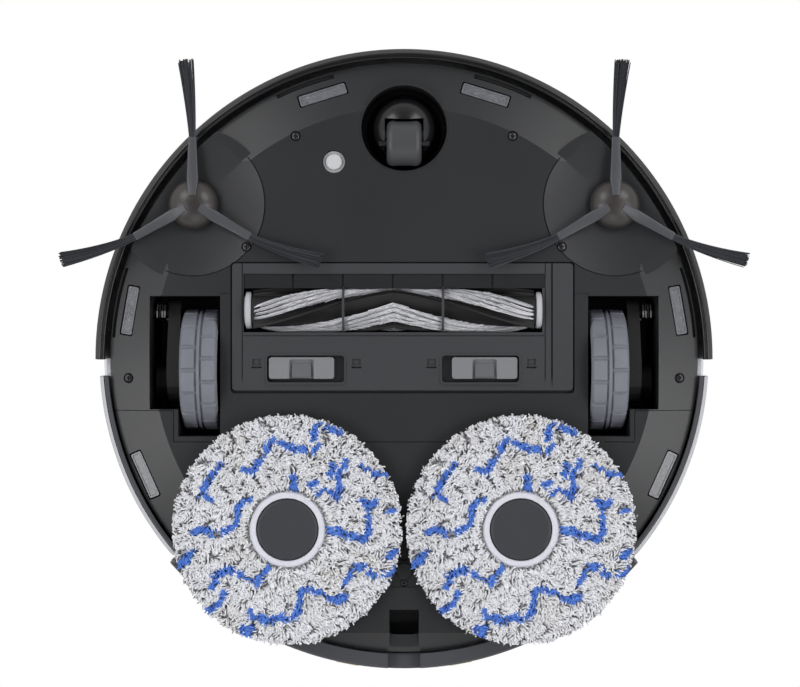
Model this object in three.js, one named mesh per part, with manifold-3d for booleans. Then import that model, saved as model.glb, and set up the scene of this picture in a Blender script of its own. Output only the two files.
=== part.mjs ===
// A robotic floor cleaner: a round, low machine that sweeps with a roller and two side brushes,
// sucks the dirt into a bin, and mops with two spinning pads at the rear.
// Millimetres, +Z up, front towards -Y. The origin is on the floor under the middle of the body.

import * as THREE from "three";
import { mergeVertices } from "three/addons/utils/BufferGeometryUtils.js";
import Module from "manifold-3d";

const wasm = await Module();
wasm.setup();

// ---- driving dimensions ----
const GAP = 0.3; // between pieces that rest on each other or are let into each other
const ROUND = 48; // facets of a body-sized circle
const SMALL_ROUND = 20; // facets of a small circle

const BODY_R = 181; // outer radius of bumper, top shell and rear panel
const CHASSIS_R = 169; // radius of the chassis wall
const PLATE_R = 143; // flat middle of the underside
const PLATE_Z = 11; // ground clearance
const CHAMFER_Z = 20; // height of the outer end of the underside's slope
const SKIN = 2.6; // thickness of the chassis moulding
const WALL_TOP_Z = 62; // top of the chassis walls
const DECK_Z = 76.5; // underside of the top shell's deck
const DECK_TOP_Z = 78.5;
const TOP_Z = 84; // top of the body
const COVER_R = 151.5; // removable top cover
const RECESS_R = 152; // the recess it lies in

const SPLIT_Y = 30; // front chassis meets rear deck
const REAR_Y = 11; // rear shell begins
const SKIRT_END_Y = 115; // pale side skirts end
const PANEL_Y = 118; // dark rear panel begins
const PANEL_R = 180; // radius of that panel

const WHEEL = { x: 117, y: 6.9, r: 35, width: 21.5, rim: 27 };
const BAY = { in: 105, out: 145.5, narrow: 129, front: -35.4, back: 29.5, end: 44.9, top: 72.8 };
const ARM_PIVOT = { y: -27, z: 34 };

const COVER = { x0: -98.2, x1: 96.4, y0: -53.9, y1: 18.6, z0: 10.5, z1: 13.2 };
const WINDOW = { x0: -91.7, x1: 78.9, y0: -40, y1: -14.6 };
const GUARD_X = [-34.6, 22]; // thin ribs across the brush window
const GUARD_WIDTH = 1.4;
const LATCH = { y: 5.8, length: 37.3, depth: 12.4, left: -58.6, right: 46, travel: 4.8, play: 1 };
const ROLLER = { y: -27.3, z: 16, r: 12.6, drive: 2.2, core: 8, x0: -87, x1: 75.1, apex: -6 };
const CHAMBER = { x0: -95, x1: 81.5, y0: -46, y1: -8.6, top: 31 };

const CASTER = { y: -131.3, cup: 24.5, wheelY: -122.6, wheelR: 13, halfWidth: 10 };
const SIDE_BRUSH = { x: 120.6, y: -87.9, dish: 41, arm: 38.3, reach: 82.5 };
const MOP = { x: 66.3, y: 97.4, r: 64.4, hole: 20.3 };
const TURRET = { y: 62, r: 42, top: 103.5 };
const BIN = { x: 85, front: -52, back: 14, step: -5.5, low: 20, ledge: 37, top: 77, wall: 2 };
const BUTTON = { y: -164, length: 34, width: 10 };
const FAN = { x: -52, y: 45, r: 26, low: 24, high: 56 };
const CARPET_SENSOR = { x: -40.1, y: -112, r: 6.2 };
const DOCK_SLOT = { halfWidth: 8.4, y: 143.7, top: 19 };
const TANK = { inner: 112, outer: 164, low: 46, high: 70, from: 38, to: 142 };

const sides = [
  { name: "left", sign: -1 },
  { name: "right", sign: 1 },
];

// ---- solids: three.js shapes, joined and cut ----

// A closed three.js geometry as a solid, with shared corners merged and faces turned outwards.
function solid(geometry) {
  const bare = geometry.index ? geometry.toNonIndexed() : geometry.clone();
  bare.deleteAttribute("normal");
  bare.deleteAttribute("uv");
  const merged = mergeVertices(bare, 1e-4);
  const mesh = new wasm.Mesh({
    numProp: 3,
    vertProperties: merged.attributes.position.array,
    triVerts: new Uint32Array(merged.index.array),
  });
  return new wasm.Manifold(mesh);
}

const union = (...parts) => parts.reduce((a, b) => a.add(b));
const cut = (body, ...tools) => tools.reduce((a, b) => a.subtract(b), body);

// A box between two corners.
function block([x0, y0, z0], [x1, y1, z1]) {
  const geometry = new THREE.BoxGeometry(x1 - x0, y1 - y0, z1 - z0);
  return solid(geometry.translate((x0 + x1) / 2, (y0 + y1) / 2, (z0 + z1) / 2));
}

// A profile of [radius, height] turned about a vertical axis at (x, y), in either point order.
function turned(profile, x = 0, y = 0, segments = SMALL_ROUND) {
  const points = profile.map(([r, z]) => new THREE.Vector2(r, z));
  if (THREE.ShapeUtils.area(points) < 0) points.reverse();
  points.push(points[0].clone());
  const geometry = new THREE.LatheGeometry(points, segments).rotateX(Math.PI / 2);
  return solid(geometry.translate(x, y, 0));
}

// An upright cylinder.
const post = (r, z0, z1, x = 0, y = 0, segments = SMALL_ROUND) =>
  turned([[0, z0], [r, z0], [r, z1], [0, z1]], x, y, segments);

// The same profile turned about a line along X through (y, z); heights become X.
function turnedAlongX(profile, y, z, segments = SMALL_ROUND) {
  const points = profile.map(([r, x]) => new THREE.Vector2(r, x));
  if (THREE.ShapeUtils.area(points) < 0) points.reverse();
  points.push(points[0].clone());
  const geometry = new THREE.LatheGeometry(points, segments).rotateZ(-Math.PI / 2);
  return solid(geometry.translate(0, y, z));
}

const rodAlongX = (r, x0, x1, y, z, segments = SMALL_ROUND) =>
  turnedAlongX([[0, x0], [r, x0], [r, x1], [0, x1]], y, z, segments);

// An outline in plan, given height.
function slab(shape, z0, z1, curveSegments = 2) {
  const options = { depth: z1 - z0, bevelEnabled: false, curveSegments };
  return solid(new THREE.ExtrudeGeometry(shape, options).translate(0, 0, z0));
}

// An outline drawn as (y, z), given thickness along X.
function slabAlongX(shape, x0, x1, curveSegments = 8) {
  const options = { depth: x1 - x0, bevelEnabled: false, curveSegments };
  const geometry = new THREE.ExtrudeGeometry(shape, options);
  return solid(geometry.rotateZ(Math.PI / 2).rotateY(Math.PI / 2).translate(x0, 0, 0));
}

// The stretch of X between two distances from the middle, on one side.
const span = (sign, near, far) => (sign > 0 ? [near, far] : [-far, -near]);

// A rectangle in plan with rounded corners.
function roundedRectangle(x0, y0, x1, y1, r) {
  const shape = new THREE.Shape();
  shape.absarc(x1 - r, y1 - r, r, 0, Math.PI / 2);
  shape.absarc(x0 + r, y1 - r, r, Math.PI / 2, Math.PI);
  shape.absarc(x0 + r, y0 + r, r, Math.PI, 1.5 * Math.PI);
  shape.absarc(x1 - r, y0 + r, r, 1.5 * Math.PI, 2 * Math.PI);
  return shape;
}

// A body whose cross-sections, each a ring of the same number of [x, y, z] corners, follow one another.
function lofted(rings) {
  const corners = rings[0].length;
  const positions = rings.flat(2);
  const faces = [];
  for (let k = 0; k < rings.length - 1; k++) {
    for (let i = 0; i < corners; i++) {
      const a = k * corners + i;
      const b = k * corners + ((i + 1) % corners);
      faces.push(a, b, b + corners, a, b + corners, a + corners);
    }
  }
  const last = (rings.length - 1) * corners;
  for (let i = 1; i < corners - 1; i++) {
    faces.push(0, i + 1, i);
    faces.push(last, last + i, last + i + 1);
  }
  const geometry = new THREE.BufferGeometry();
  geometry.setAttribute("position", new THREE.Float32BufferAttribute(positions, 3));
  geometry.setIndex(faces);
  const body = solid(geometry);
  if (body.volume() > 0) return body;
  geometry.setIndex(faces.reverse());
  return solid(geometry);
}

const half = (x, y0, y1) => block([-x, y0, -5], [x, y1, 120]);

// ---- the assembly ----
const robot = new THREE.Group();

const BLACK = { color: 0x2a2b2e, roughness: 0.35, metalness: 0 };
const PLATE = { color: 0x2f3032, roughness: 0.6, metalness: 0 };
const SHELL = { color: 0x414246, roughness: 0.5, metalness: 0 };
const PALE = { color: 0xd8dade, roughness: 0.4, metalness: 0 };
const GREY = { color: 0x7b7c80, roughness: 0.55, metalness: 0 };
const DARK = { color: 0x3b3a3b, roughness: 0.5, metalness: 0 };
const RUBBER = { color: 0x7a7c84, roughness: 0.8, metalness: 0 };
const BRISTLE = { color: 0x34373c, roughness: 0.6, metalness: 0 };
const SMOKED = { color: 0x717277, roughness: 0.2, metalness: 0 };
const METAL = { color: 0xb0b1b2, roughness: 0.3, metalness: 1 };
const BRASS = { color: 0xc9a24a, roughness: 0.3, metalness: 1 };
const CLOTH = { color: 0xc4c6cc, roughness: 1, metalness: 0 };
const BOARD = { color: 0x1f5a34, roughness: 0.6, metalness: 0 };

// Adds a finished solid to the robot as a named mesh.
function piece(name, body, look) {
  const { vertProperties, triVerts } = body.getMesh();
  const geometry = new THREE.BufferGeometry();
  geometry.setAttribute("position", new THREE.BufferAttribute(vertProperties.slice(), 3));
  geometry.setIndex(new THREE.BufferAttribute(triVerts.slice(), 1));
  geometry.computeVertexNormals();
  const mesh = new THREE.Mesh(geometry, new THREE.MeshStandardMaterial(look));
  mesh.name = name;
  robot.add(mesh);
}

// ---- chassis ----

// The moulded tray: flat plate, sloped ring and upright wall.
const tray = () =>
  turned(
    [
      [0, PLATE_Z],
      [PLATE_R, PLATE_Z],
      [CHASSIS_R, CHAMFER_Z],
      [CHASSIS_R, WALL_TOP_Z],
      [CHASSIS_R - SKIN, WALL_TOP_Z],
      [CHASSIS_R - SKIN, CHAMFER_Z + 1.4],
      [PLATE_R - 0.6, PLATE_Z + SKIN],
      [0, PLATE_Z + SKIN],
    ],
    0,
    0,
    ROUND,
  );

// Height of the underside's slope at a distance from the middle.
const slopeZ = (r) =>
  PLATE_Z + ((r - PLATE_R) * (CHAMFER_Z - PLATE_Z)) / (CHASSIS_R - PLATE_R);

// A tangential tile let into the sloped ring, at an angle from the front towards +X.
function slopeTile(angle, r, length, width, depth, sink) {
  const pitch = Math.atan2(CHAMFER_Z - PLATE_Z, CHASSIS_R - PLATE_R);
  const geometry = new THREE.BoxGeometry(length, width, depth);
  geometry.translate(0, 0, depth / 2 + sink);
  geometry.rotateX(-pitch);
  geometry.translate(0, -r, slopeZ(r));
  return solid(geometry.rotateZ(angle));
}

// The wheel bay of one side: a wide part beside the gearbox and a narrow end behind the tyre.
function bay(sign, margin, z0, z1) {
  const [a, b] = span(sign, BAY.in - margin, BAY.out + margin);
  const [c, d] = span(sign, BAY.in - margin, BAY.narrow + margin);
  return union(
    block([a, BAY.front - margin, z0], [b, BAY.back + margin, z1]),
    block([c, BAY.back - 1, z0], [d, BAY.end + margin, z1]),
  );
}

// The dished recess around a side brush, deeper towards its hub.
const dish = (x, outset) =>
  turned(
    [
      [0, PLATE_Z - 4],
      [SIDE_BRUSH.dish + 3 + outset, PLATE_Z - 4 + outset],
      [SIDE_BRUSH.dish + outset, PLATE_Z + outset / 2],
      [14.6 + outset, PLATE_Z + 6 + outset],
      [0, PLATE_Z + 6 + outset],
    ],
    x,
    SIDE_BRUSH.y,
    28,
  );

const CLIFF_SENSORS = [
  { place: "front", angle: 17.2, r: 158 },
  { place: "side", angle: 80.2, r: 159.7 },
  { place: "rear", angle: 114.3, r: 163.3 },
];

// Windows of the drop sensors, and the pockets they sit in.
function cliffTiles(margin) {
  const size = { length: 27.6 + 2 * margin, width: 6.6 + 2 * margin };
  const depth = margin ? 8 : 2.2;
  const sink = margin ? -3 : 0.2;
  return sides.flatMap(({ name, sign }) =>
    CLIFF_SENSORS.map(({ place, angle, r }) => ({
      name: `cliff_window_${place}_${name}`,
      body: slopeTile(
        sign * THREE.MathUtils.degToRad(angle), r, size.length, size.width, depth, sink),
    })),
  );
}

// The front half of the moulding ends at a line across the machine, with a tongue behind each bay.
const frontRegion = (margin) =>
  union(
    block([-200, -200, -5], [200, SPLIT_Y - margin, 120]),
    block([-131.5 + margin, SPLIT_Y - 2, -5], [131.5 - margin, 47.8 - margin, 120]),
  );

const CHAMBER_WALL = 1.8;

// Roller chamber: a box over the brush, with the shallow recess of the brush cover around it.
function chamberOuter() {
  const w = CHAMBER_WALL;
  return union(
    block(
      [CHAMBER.x0 - w, CHAMBER.y0 - w, 14],
      [CHAMBER.x1 + w, CHAMBER.y1 + w, CHAMBER.top + w]),
    block([COVER.x0 - 2, COVER.y0 - 2, 12], [COVER.x1 + 2, COVER.y1 + 2, 16.2]),
  );
}

function chamberInner() {
  const duct = { x: 38, z0: 22, z1: 29.5 };
  return union(
    block([COVER.x0 - 0.4, COVER.y0 - 0.4, 0], [COVER.x1 + 0.4, COVER.y1 + 0.4, 14.2]),
    block([CHAMBER.x0, CHAMBER.y0, 14], [CHAMBER.x1, CHAMBER.y1, CHAMBER.top]),
    block([-duct.x, CHAMBER.y1 - 1, duct.z0], [duct.x, CHAMBER.y1 + 4, duct.z1]),
    rodAlongX(ROLLER.drive + 0.8, CHAMBER.x1 - 1, COVER.x1 + 0.4, ROLLER.y, ROLLER.z),
  );
}

function frontChassis() {
  const cup = post(CASTER.cup + 2, 12, 44, 0, CASTER.y, 28);
  const cupInside = post(CASTER.cup, 0, 41, 0, CASTER.y, 28);
  const stemHole = post(4.4, 40, 46, 0, CASTER.y, 16);
  const shape = union(
    tray(),
    bay(-1, 1.7, 14, BAY.top + 1.7),
    bay(1, 1.7, 14, BAY.top + 1.7),
    chamberOuter(),
    cup,
    ...sides.map(({ sign }) => dish(sign * SIDE_BRUSH.x, 2.6).intersect(post(168, 12, 30, 0, 0, ROUND))),
  );
  return cut(
    shape,
    bay(-1, 0, -5, BAY.top),
    bay(1, 0, -5, BAY.top),
    chamberInner(),
    cupInside,
    stemHole,
    post(CARPET_SENSOR.r + 0.4, 0, 20, CARPET_SENSOR.x, CARPET_SENSOR.y, 20),
    ...sides.map(({ sign }) => dish(sign * SIDE_BRUSH.x, 0)),
    ...sides.map(({ sign }) => post(3.4, 10, 30, sign * SIDE_BRUSH.x, SIDE_BRUSH.y, 16)),
    ...cliffTiles(0.3).map((tile) => tile.body),
  ).intersect(frontRegion(0));
}

// The rear half of the moulding carries the mops and takes the dock's tongue at its end.
function rearDeck() {
  return cut(
    tray(),
    frontRegion(-GAP),
    ...sides.map(({ sign }) => post(8, 5, 30, sign * MOP.x, MOP.y, 20)),
    block([-DOCK_SLOT.halfWidth, DOCK_SLOT.y, 0], [DOCK_SLOT.halfWidth, 190, DOCK_SLOT.top]),
    ...cliffTiles(0.3).map((tile) => tile.body),
  );
}

const CONTACT = { x: 33, z: 28, length: 13.4, height: 4.6, depth: 1.8, face: PANEL_R + 0.1 };

// A charging plate on the round rear, at an angle that puts its middle at CONTACT.x.
function contactPlate(sign, margin) {
  const angle = Math.asin(CONTACT.x / BODY_R);
  const geometry = new THREE.BoxGeometry(
    CONTACT.length + 2 * margin,
    CONTACT.depth + 2 * margin,
    CONTACT.height + 2 * margin,
  );
  geometry.translate(0, CONTACT.face - CONTACT.depth / 2, CONTACT.z);
  return solid(geometry.rotateZ(-sign * angle));
}

// Dark wall behind the side skirts, thickened at the back into the panel with the contacts.
function rearShell() {
  const ring = turned(
    [[170, 16.8], [171.6, 16.8], [172.6, 18.4], [177.2, 50], [177.2, 72], [174.8, 72], [174.8, 50], [170.2, 20.4]],
    0,
    0,
    ROUND,
  ).intersect(half(200, REAR_Y, 200));
  const panel = turned(
    [[171, 16.8], [177.4, 16.8], [178.6, 19], [179.2, 22], [PANEL_R, 40], [PANEL_R, 72],
      [174.9, 72], [174.9, 50], [170.6, 20.4]],
    0,
    0,
    ROUND,
  ).intersect(half(200, PANEL_Y, 200));
  return cut(
    union(ring, panel),
    block([-DOCK_SLOT.halfWidth - 1, 165, 10], [DOCK_SLOT.halfWidth + 1, 190, DOCK_SLOT.top + 5]),
    contactPlate(-1, GAP),
    contactPlate(1, GAP),
  );
}

// Pale upper moulding: round rim, deck under the cover, and a skirt down each rear side.
function topShell() {
  const rim = turned(
    [
      [0, DECK_Z],
      [179.4, DECK_Z],
      [BODY_R, 78.6],
      [180, 82],
      [176.6, TOP_Z],
      [RECESS_R, TOP_Z],
      [RECESS_R, DECK_TOP_Z],
      [0, DECK_TOP_Z],
    ],
    0,
    0,
    ROUND,
  );
  const skirts = turned(
    [[175.3, 34], [177, 34], [BODY_R, 62], [BODY_R, 79], [177.6, 79], [177.6, 50]], 0, 0, ROUND,
  ).intersect(half(200, REAR_Y, SKIRT_END_Y));
  const well = block(
    [-BIN.x - 1.5, BIN.front - 1.5, DECK_Z - 1],
    [BIN.x + 1.5, BIN.back + 1.5, DECK_TOP_Z + 1]);
  const buttonHole = slab(buttonShape(0.6), DECK_Z - 1, TOP_Z + 1);
  return cut(union(rim, skirts), well, buttonHole, post(34, 70, 90, 0, TURRET.y, 28));
}

function buttonShape(margin) {
  const [a, b] = [BUTTON.length / 2 + margin, BUTTON.width / 2 + margin];
  return roundedRectangle(-a, BUTTON.y - b, a, BUTTON.y + b, b - 0.01);
}

function addBody() {
  piece("front_chassis", frontChassis(), PLATE);
  piece("rear_deck", rearDeck(), PLATE);
  piece("rear_shell", rearShell(), SHELL);
  piece("top_shell", topShell(), PALE);
  for (const { name, sign } of sides) piece(`${name}_charging_contact`, contactPlate(sign, 0), METAL);
  for (const { name, body } of cliffTiles(0)) piece(name, body, SMOKED);
  const { x, y, r } = CARPET_SENSOR;
  const carpetSensor = turned(
    [[0, 11.8], [r - 1.6, 11.8], [r - 1.4, 12.6], [r, 12.6], [r, 22], [0, 22]], x, y, 20);
  piece("carpet_sensor", carpetSensor, METAL);
}

// ---- bumper, cover, button and turret ----

// Sprung shell around the front half, drawn in towards its foot, with a lip turned in under the body.
function bumper() {
  const shell = turned(
    [
      [171.6, 14.6],
      [174.6, 14.6],
      [175.4, 15.6],
      [179.4, 34],
      [BODY_R, 44],
      [BODY_R, 73],
      [179.6, 76],
      [177, 76],
      [177, 44],
      [176.2, 34],
      [173.2, 18.4],
      [171.6, 18.4],
    ],
    0,
    0,
    ROUND,
  );
  return cut(shell, half(200, 1, 200), windowRing(GAP));
}

const WINDOW_HALF_ANGLE = 0.68; // radians of the bumper's sensor window each side of the front

// Curved window let into the bumper's face.
function windowRing(margin) {
  const ring = turned(
    [
      [179.2 - margin, 46 - margin],
      [BODY_R + margin / 3, 46 - margin],
      [BODY_R + margin / 3, 66 + margin],
      [179.2 - margin, 66 + margin],
    ],
    0,
    0,
    ROUND,
  );
  const halfAngle = WINDOW_HALF_ANGLE + margin / BODY_R;
  const wedge = new THREE.Shape();
  wedge.moveTo(0, 0);
  wedge.lineTo(-300 * Math.sin(halfAngle), -300 * Math.cos(halfAngle));
  wedge.lineTo(300 * Math.sin(halfAngle), -300 * Math.cos(halfAngle));
  wedge.closePath();
  return ring.intersect(slab(wedge, 20, 90));
}

// Flat round lid around the turret.
function topCover() {
  const disc = turned(
    [
      [0, 81.6],
      [148.6, 81.6],
      [148.6, 79],
      [COVER_R, 79],
      [COVER_R, 83.2],
      [150.4, TOP_Z],
      [0, TOP_Z],
    ],
    0,
    0,
    ROUND,
  );
  return cut(disc, post(TURRET.r + 2.4, 70, 90, 0, TURRET.y, 32));
}

// Fixed part of the turret: foot ring, three pillars and the cap.
function turretHousing() {
  const foot = turned(
    [[0, 78.8], [TURRET.r, 78.8], [TURRET.r, 87], [31, 87], [31, 80.6], [0, 80.6]], 0, TURRET.y, 32);
  const cap = turned(
    [[0, 98], [TURRET.r - 1, 98], [TURRET.r - 1, 101], [TURRET.r - 4, TURRET.top], [0, TURRET.top]],
    0, TURRET.y, 32);
  const pillars = [0.5, 2.6, 4.7].map((turn) => {
    const x = 35.5 * Math.cos(turn);
    const y = TURRET.y + 35.5 * Math.sin(turn);
    return post(3, 86, 99, x, y, 12);
  });
  return union(foot, cap, ...pillars);
}

// Spinning distance sensor inside the turret, with its two lens openings cut across its face.
function turretRotor() {
  const drum = turned([[0, 81], [28, 81], [28, 96.6], [0, 96.6]], 0, TURRET.y, 32);
  const lens = (x) => block([x - 5, TURRET.y - 30, 86.5], [x + 5, TURRET.y - 24, 95]);
  return cut(drum, lens(-9), lens(9));
}

function addUpperParts() {
  piece("bumper", bumper(), BLACK);
  piece("bumper_window", windowRing(0), SMOKED);
  piece("top_cover", topCover(), PALE);
  piece("start_button", slab(buttonShape(0), 77.8, 84.8), GREY);
  piece("turret_housing", turretHousing(), BLACK);
  piece("turret_rotor", turretRotor(), DARK);
}

// ---- running gear ----

// Swivel of the front caster: a dome with a wheel slot, a flange and a stem.
function casterFork() {
  const dome = turned(
    [
      [0, 7.6],
      [9, 8],
      [14, 10],
      [17.3, 15],
      [17.3, 28],
      [21, 31],
      [21.6, 33],
      [21.6, 36],
      [4, 36],
      [4, 50],
      [0, 50],
    ],
    0,
    CASTER.y,
    24,
  );
  const w = CASTER.halfWidth + 1.1;
  return cut(
    dome,
    rodAlongX(CASTER.wheelR + 1.4, -w, w, CASTER.wheelY, CASTER.wheelR, 24),
    block([-w, CASTER.wheelY, 0], [w, -100, 27.4]),
    rodAlongX(1.9, -30, 30, CASTER.wheelY, CASTER.wheelR, 12),
  );
}

function addCaster() {
  const { wheelY, wheelR, halfWidth } = CASTER;
  const wheel = turnedAlongX(
    [
      [1.9, -halfWidth],
      [10.4, -halfWidth],
      [wheelR, 3 - halfWidth],
      [wheelR, halfWidth - 3],
      [10.4, halfWidth],
      [1.9, halfWidth],
    ],
    wheelY,
    wheelR,
    28,
  );
  piece("caster_fork", casterFork(), BLACK);
  piece("caster_wheel", wheel, GREY);
  piece("caster_axle", rodAlongX(1.6, -14.4, 14.4, wheelY, wheelR, 12), METAL);
}

// Reduction gearbox beside a wheel, which swings on its front pin and carries the wheel's axle.
function driveGearbox(sign) {
  const outline = new THREE.Shape();
  outline.absarc(WHEEL.y, WHEEL.r, 19.5, -2.1, 2.1);
  outline.absarc(ARM_PIVOT.y, ARM_PIVOT.z, 6.6, 2.1, 2 * Math.PI - 2.1);
  outline.closePath();
  const [inner, outer] = [129.2, 136.2];
  const plate = slabAlongX(outline, ...span(sign, inner, outer));
  const motor = rodAlongX(11, ...span(sign, outer - 1, 143.6), 14, 40, 24);
  const stub = rodAlongX(3, ...span(sign, 107, inner + 1), WHEEL.y, WHEEL.r, 16);
  const pin = rodAlongX(2.6, ...span(sign, inner + 1, 145.1), ARM_PIVOT.y, ARM_PIVOT.z, 16);
  return union(plate, motor, stub, pin);
}

// Torsion spring on the arm's pin: four turns of wire.
function suspensionSpring(sign) {
  class Coil extends THREE.Curve {
    getPoint(t, target = new THREE.Vector3()) {
      const turn = t * 4 * 2 * Math.PI;
      const x = sign * (137.6 + t * 6);
      return target.set(x, ARM_PIVOT.y + 4.8 * Math.cos(turn), ARM_PIVOT.z + 4.8 * Math.sin(turn));
    }
  }
  const wire = new THREE.Shape();
  wire.absarc(0, 0, 0.6, 0, 2 * Math.PI);
  const options = { steps: 32, curveSegments: 3, extrudePath: new Coil(), bevelEnabled: false };
  return solid(new THREE.ExtrudeGeometry(wire, options));
}

function addDriveWheels() {
  const { x, y, r, width, rim } = WHEEL;
  for (const { name, sign } of sides) {
    const [a, b] = [sign * x - width / 2, sign * x + width / 2];
    const tyre = turnedAlongX(
      [[rim, a + 1], [r - 2, a], [r, a + 2], [r, b - 2], [r - 2, b], [rim, b - 1]], y, r, 36);
    const hub = turnedAlongX(
      [[3.4, a + 2], [10, a + 2], [12, a + 5], [20, a + 5], [rim - GAP, a + 1.6],
        [rim - GAP, b - 1.6], [20, b - 5], [12, b - 5], [10, b - 2], [3.4, b - 2]], y, r, 24);
    piece(`${name}_tyre`, tyre, RUBBER);
    piece(`${name}_wheel_hub`, hub, DARK);
    piece(`${name}_drive_gearbox`, driveGearbox(sign), DARK);
    piece(`${name}_suspension_spring`, suspensionSpring(sign), METAL);
  }
}

// ---- side brushes ----

// Directions of the three arms: one straight ahead, the others swung back to each side.
const ARM_ANGLES = [-90, 30, 150].map(THREE.MathUtils.degToRad);

// A flat tapering bar from one radius to another around a side brush, sinking outwards.
function armBar(sign, angle, from, to) {
  const ring = ({ r, width, z0, z1 }) =>
    [[-width / 2, z0], [width / 2, z0], [width / 2, z1], [-width / 2, z1]].map(([s, z]) => [
      sign * SIDE_BRUSH.x + r * Math.cos(angle) - s * Math.sin(angle),
      SIDE_BRUSH.y + r * Math.sin(angle) + s * Math.cos(angle),
      z,
    ]);
  return lofted([ring(from), ring(to)]);
}

function addSideBrushes() {
  const tuftNames = ["front", "right", "left"];
  for (const { name, sign } of sides) {
    const x = sign * SIDE_BRUSH.x;
    const hub = turned(
      [
        [0, 5.2],
        [5.4, 5.5],
        [9.3, 8.4],
        [9.6, 12.6],
        [13.4, 13.8],
        [13.4, 15.6],
        [2.4, 15.6],
        [2.4, 27],
        [0, 27],
      ],
      x,
      SIDE_BRUSH.y,
      24,
    );
    const arms = ARM_ANGLES.map((angle) =>
      armBar(sign, angle,
        { r: 6, width: 5.8, z0: 8.2, z1: 10.6 },
        { r: SIDE_BRUSH.arm - GAP, width: 4.2, z0: 7, z1: 9.2 }));
    piece(`${name}_side_brush_hub`, union(hub, ...arms), DARK);
    ARM_ANGLES.forEach((angle, i) => {
      const tuft = armBar(sign, angle,
        { r: SIDE_BRUSH.arm, width: 4, z0: 7.2, z1: 9 },
        { r: SIDE_BRUSH.reach, width: 8, z0: 0.7, z1: 1.9 });
      piece(`${name}_brush_tuft_${tuftNames[i]}`, tuft, BRISTLE);
    });
    const motor = cut(
      union(
        post(12.5, 22, 46, x, SIDE_BRUSH.y, 24),
        block([x - 15, SIDE_BRUSH.y - 6, 22], [x + 15, SIDE_BRUSH.y + 6, 26]),
      ),
      post(2.8, 20, 28, x, SIDE_BRUSH.y, 16),
    );
    piece(`${name}_side_brush_motor`, motor, METAL);
  }
}

// ---- roller brush and its cover ----

const FIN_TWIST = THREE.MathUtils.degToRad(128); // turn of a strip from the apex to the far end

// A chevron strip along the roller: its apex leads, and both ends trail by up to FIN_TWIST.
function chevron(phase, x0, x1, inner, outer, thickness) {
  const stations = 13;
  const reach = ROLLER.x1 - ROLLER.apex;
  const rings = [];
  for (let k = 0; k < stations; k++) {
    const x = THREE.MathUtils.lerp(x0, x1, k / (stations - 1));
    const angle = phase + (FIN_TWIST * Math.abs(x - ROLLER.apex)) / reach;
    const corner = (r, s) => [
      x,
      ROLLER.y + r * Math.cos(angle) - s * Math.sin(angle),
      ROLLER.z + r * Math.sin(angle) + s * Math.cos(angle),
    ];
    const t = thickness / 2;
    rings.push([corner(inner, -t), corner(outer, -t), corner(outer, t), corner(inner, t)]);
  }
  return lofted(rings);
}

const ROW_PHASES = [0, 120, 240].map((deg) => THREE.MathUtils.degToRad(deg - 104));

function addRoller() {
  const { y, z, r, core, drive, x0, x1 } = ROLLER;
  const rows = ROW_PHASES.map((phase) => chevron(phase, x0 + 5, x1 - 5, core - 1, r, 2.6));
  piece("main_brush_core", union(rodAlongX(core, x0, x1, y, z), ...rows), CLOTH);
  const sleeve = turnedAlongX(
    [[core + GAP, x0], [core + 1.4, x0], [core + 1.4, x1], [core + GAP, x1]], y, z);
  const blades = ROW_PHASES.map((phase) =>
    chevron(phase + Math.PI / 3, x0 + 1, x1 - 1, core + 1, r, 1.6));
  const slots = ROW_PHASES.map((phase) =>
    chevron(phase, x0 + 4.6, x1 - 4.6, core - 2, r + 1, 2.6 + 2 * GAP));
  piece("main_brush_blades", cut(union(sleeve, ...blades), ...slots), BLACK);
  const bearing = turnedAlongX([[0, -91], [9.6, -91], [9.6, x0 - GAP], [0, x0 - GAP]], y, z);
  const driveCap = turnedAlongX(
    [[0, x1 + GAP], [9.6, x1 + GAP], [9.6, 78.6], [drive, 78.6], [drive, 90], [0, 90]], y, z);
  piece("brush_bearing_cap", bearing, GREY);
  piece("brush_drive_cap", driveCap, GREY);
  const gearbox = cut(
    block([83.7, -50, 16.6], [97.4, -6, 36.4]),
    rodAlongX(drive + GAP, 83, 91, y, z),
  );
  piece("brush_gearbox", gearbox, DARK);
}

// Slot that a latch slides in, from its parked end to its open end nearer the middle.
function latchSlot({ name, sign }) {
  const parked = LATCH[name] + sign * (LATCH.length / 2 + LATCH.play);
  const open = LATCH[name] - sign * (LATCH.length / 2 + LATCH.travel + LATCH.play);
  const [x0, x1] = [Math.min(parked, open), Math.max(parked, open)];
  const reach = LATCH.depth / 2 + LATCH.play;
  return roundedRectangle(x0, LATCH.y - reach, x1, LATCH.y + reach + LATCH.play, 2);
}

// Thin rib that bows down around the roller, from one edge of the window to the other.
function guardRib(x) {
  const reach = ROLLER.r + 0.3;
  const [a, b] = [x - GUARD_WIDTH / 2, x + GUARD_WIDTH / 2];
  const ring = turnedAlongX(
    [[reach, a], [reach + 1.2, a], [reach + 1.2, b], [reach, b]], ROLLER.y, ROLLER.z, 36);
  return ring.intersect(block([a, WINDOW.y0 - 1.4, 0], [b, WINDOW.y1 + 1.4, COVER.z1 - 0.5]));
}

// Removable frame under the roller, with its window and the slots of the two latches.
function brushCover() {
  const plate = slab(
    roundedRectangle(COVER.x0, COVER.y0, COVER.x1, COVER.y1, 2.5), COVER.z0, COVER.z1);
  const frame = cut(
    plate,
    block([WINDOW.x0, WINDOW.y0, 0], [WINDOW.x1, WINDOW.y1, 20]),
    ...sides.map((side) => slab(latchSlot(side), 5, 20)),
  );
  return union(frame, ...GUARD_X.map(guardRib));
}

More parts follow.
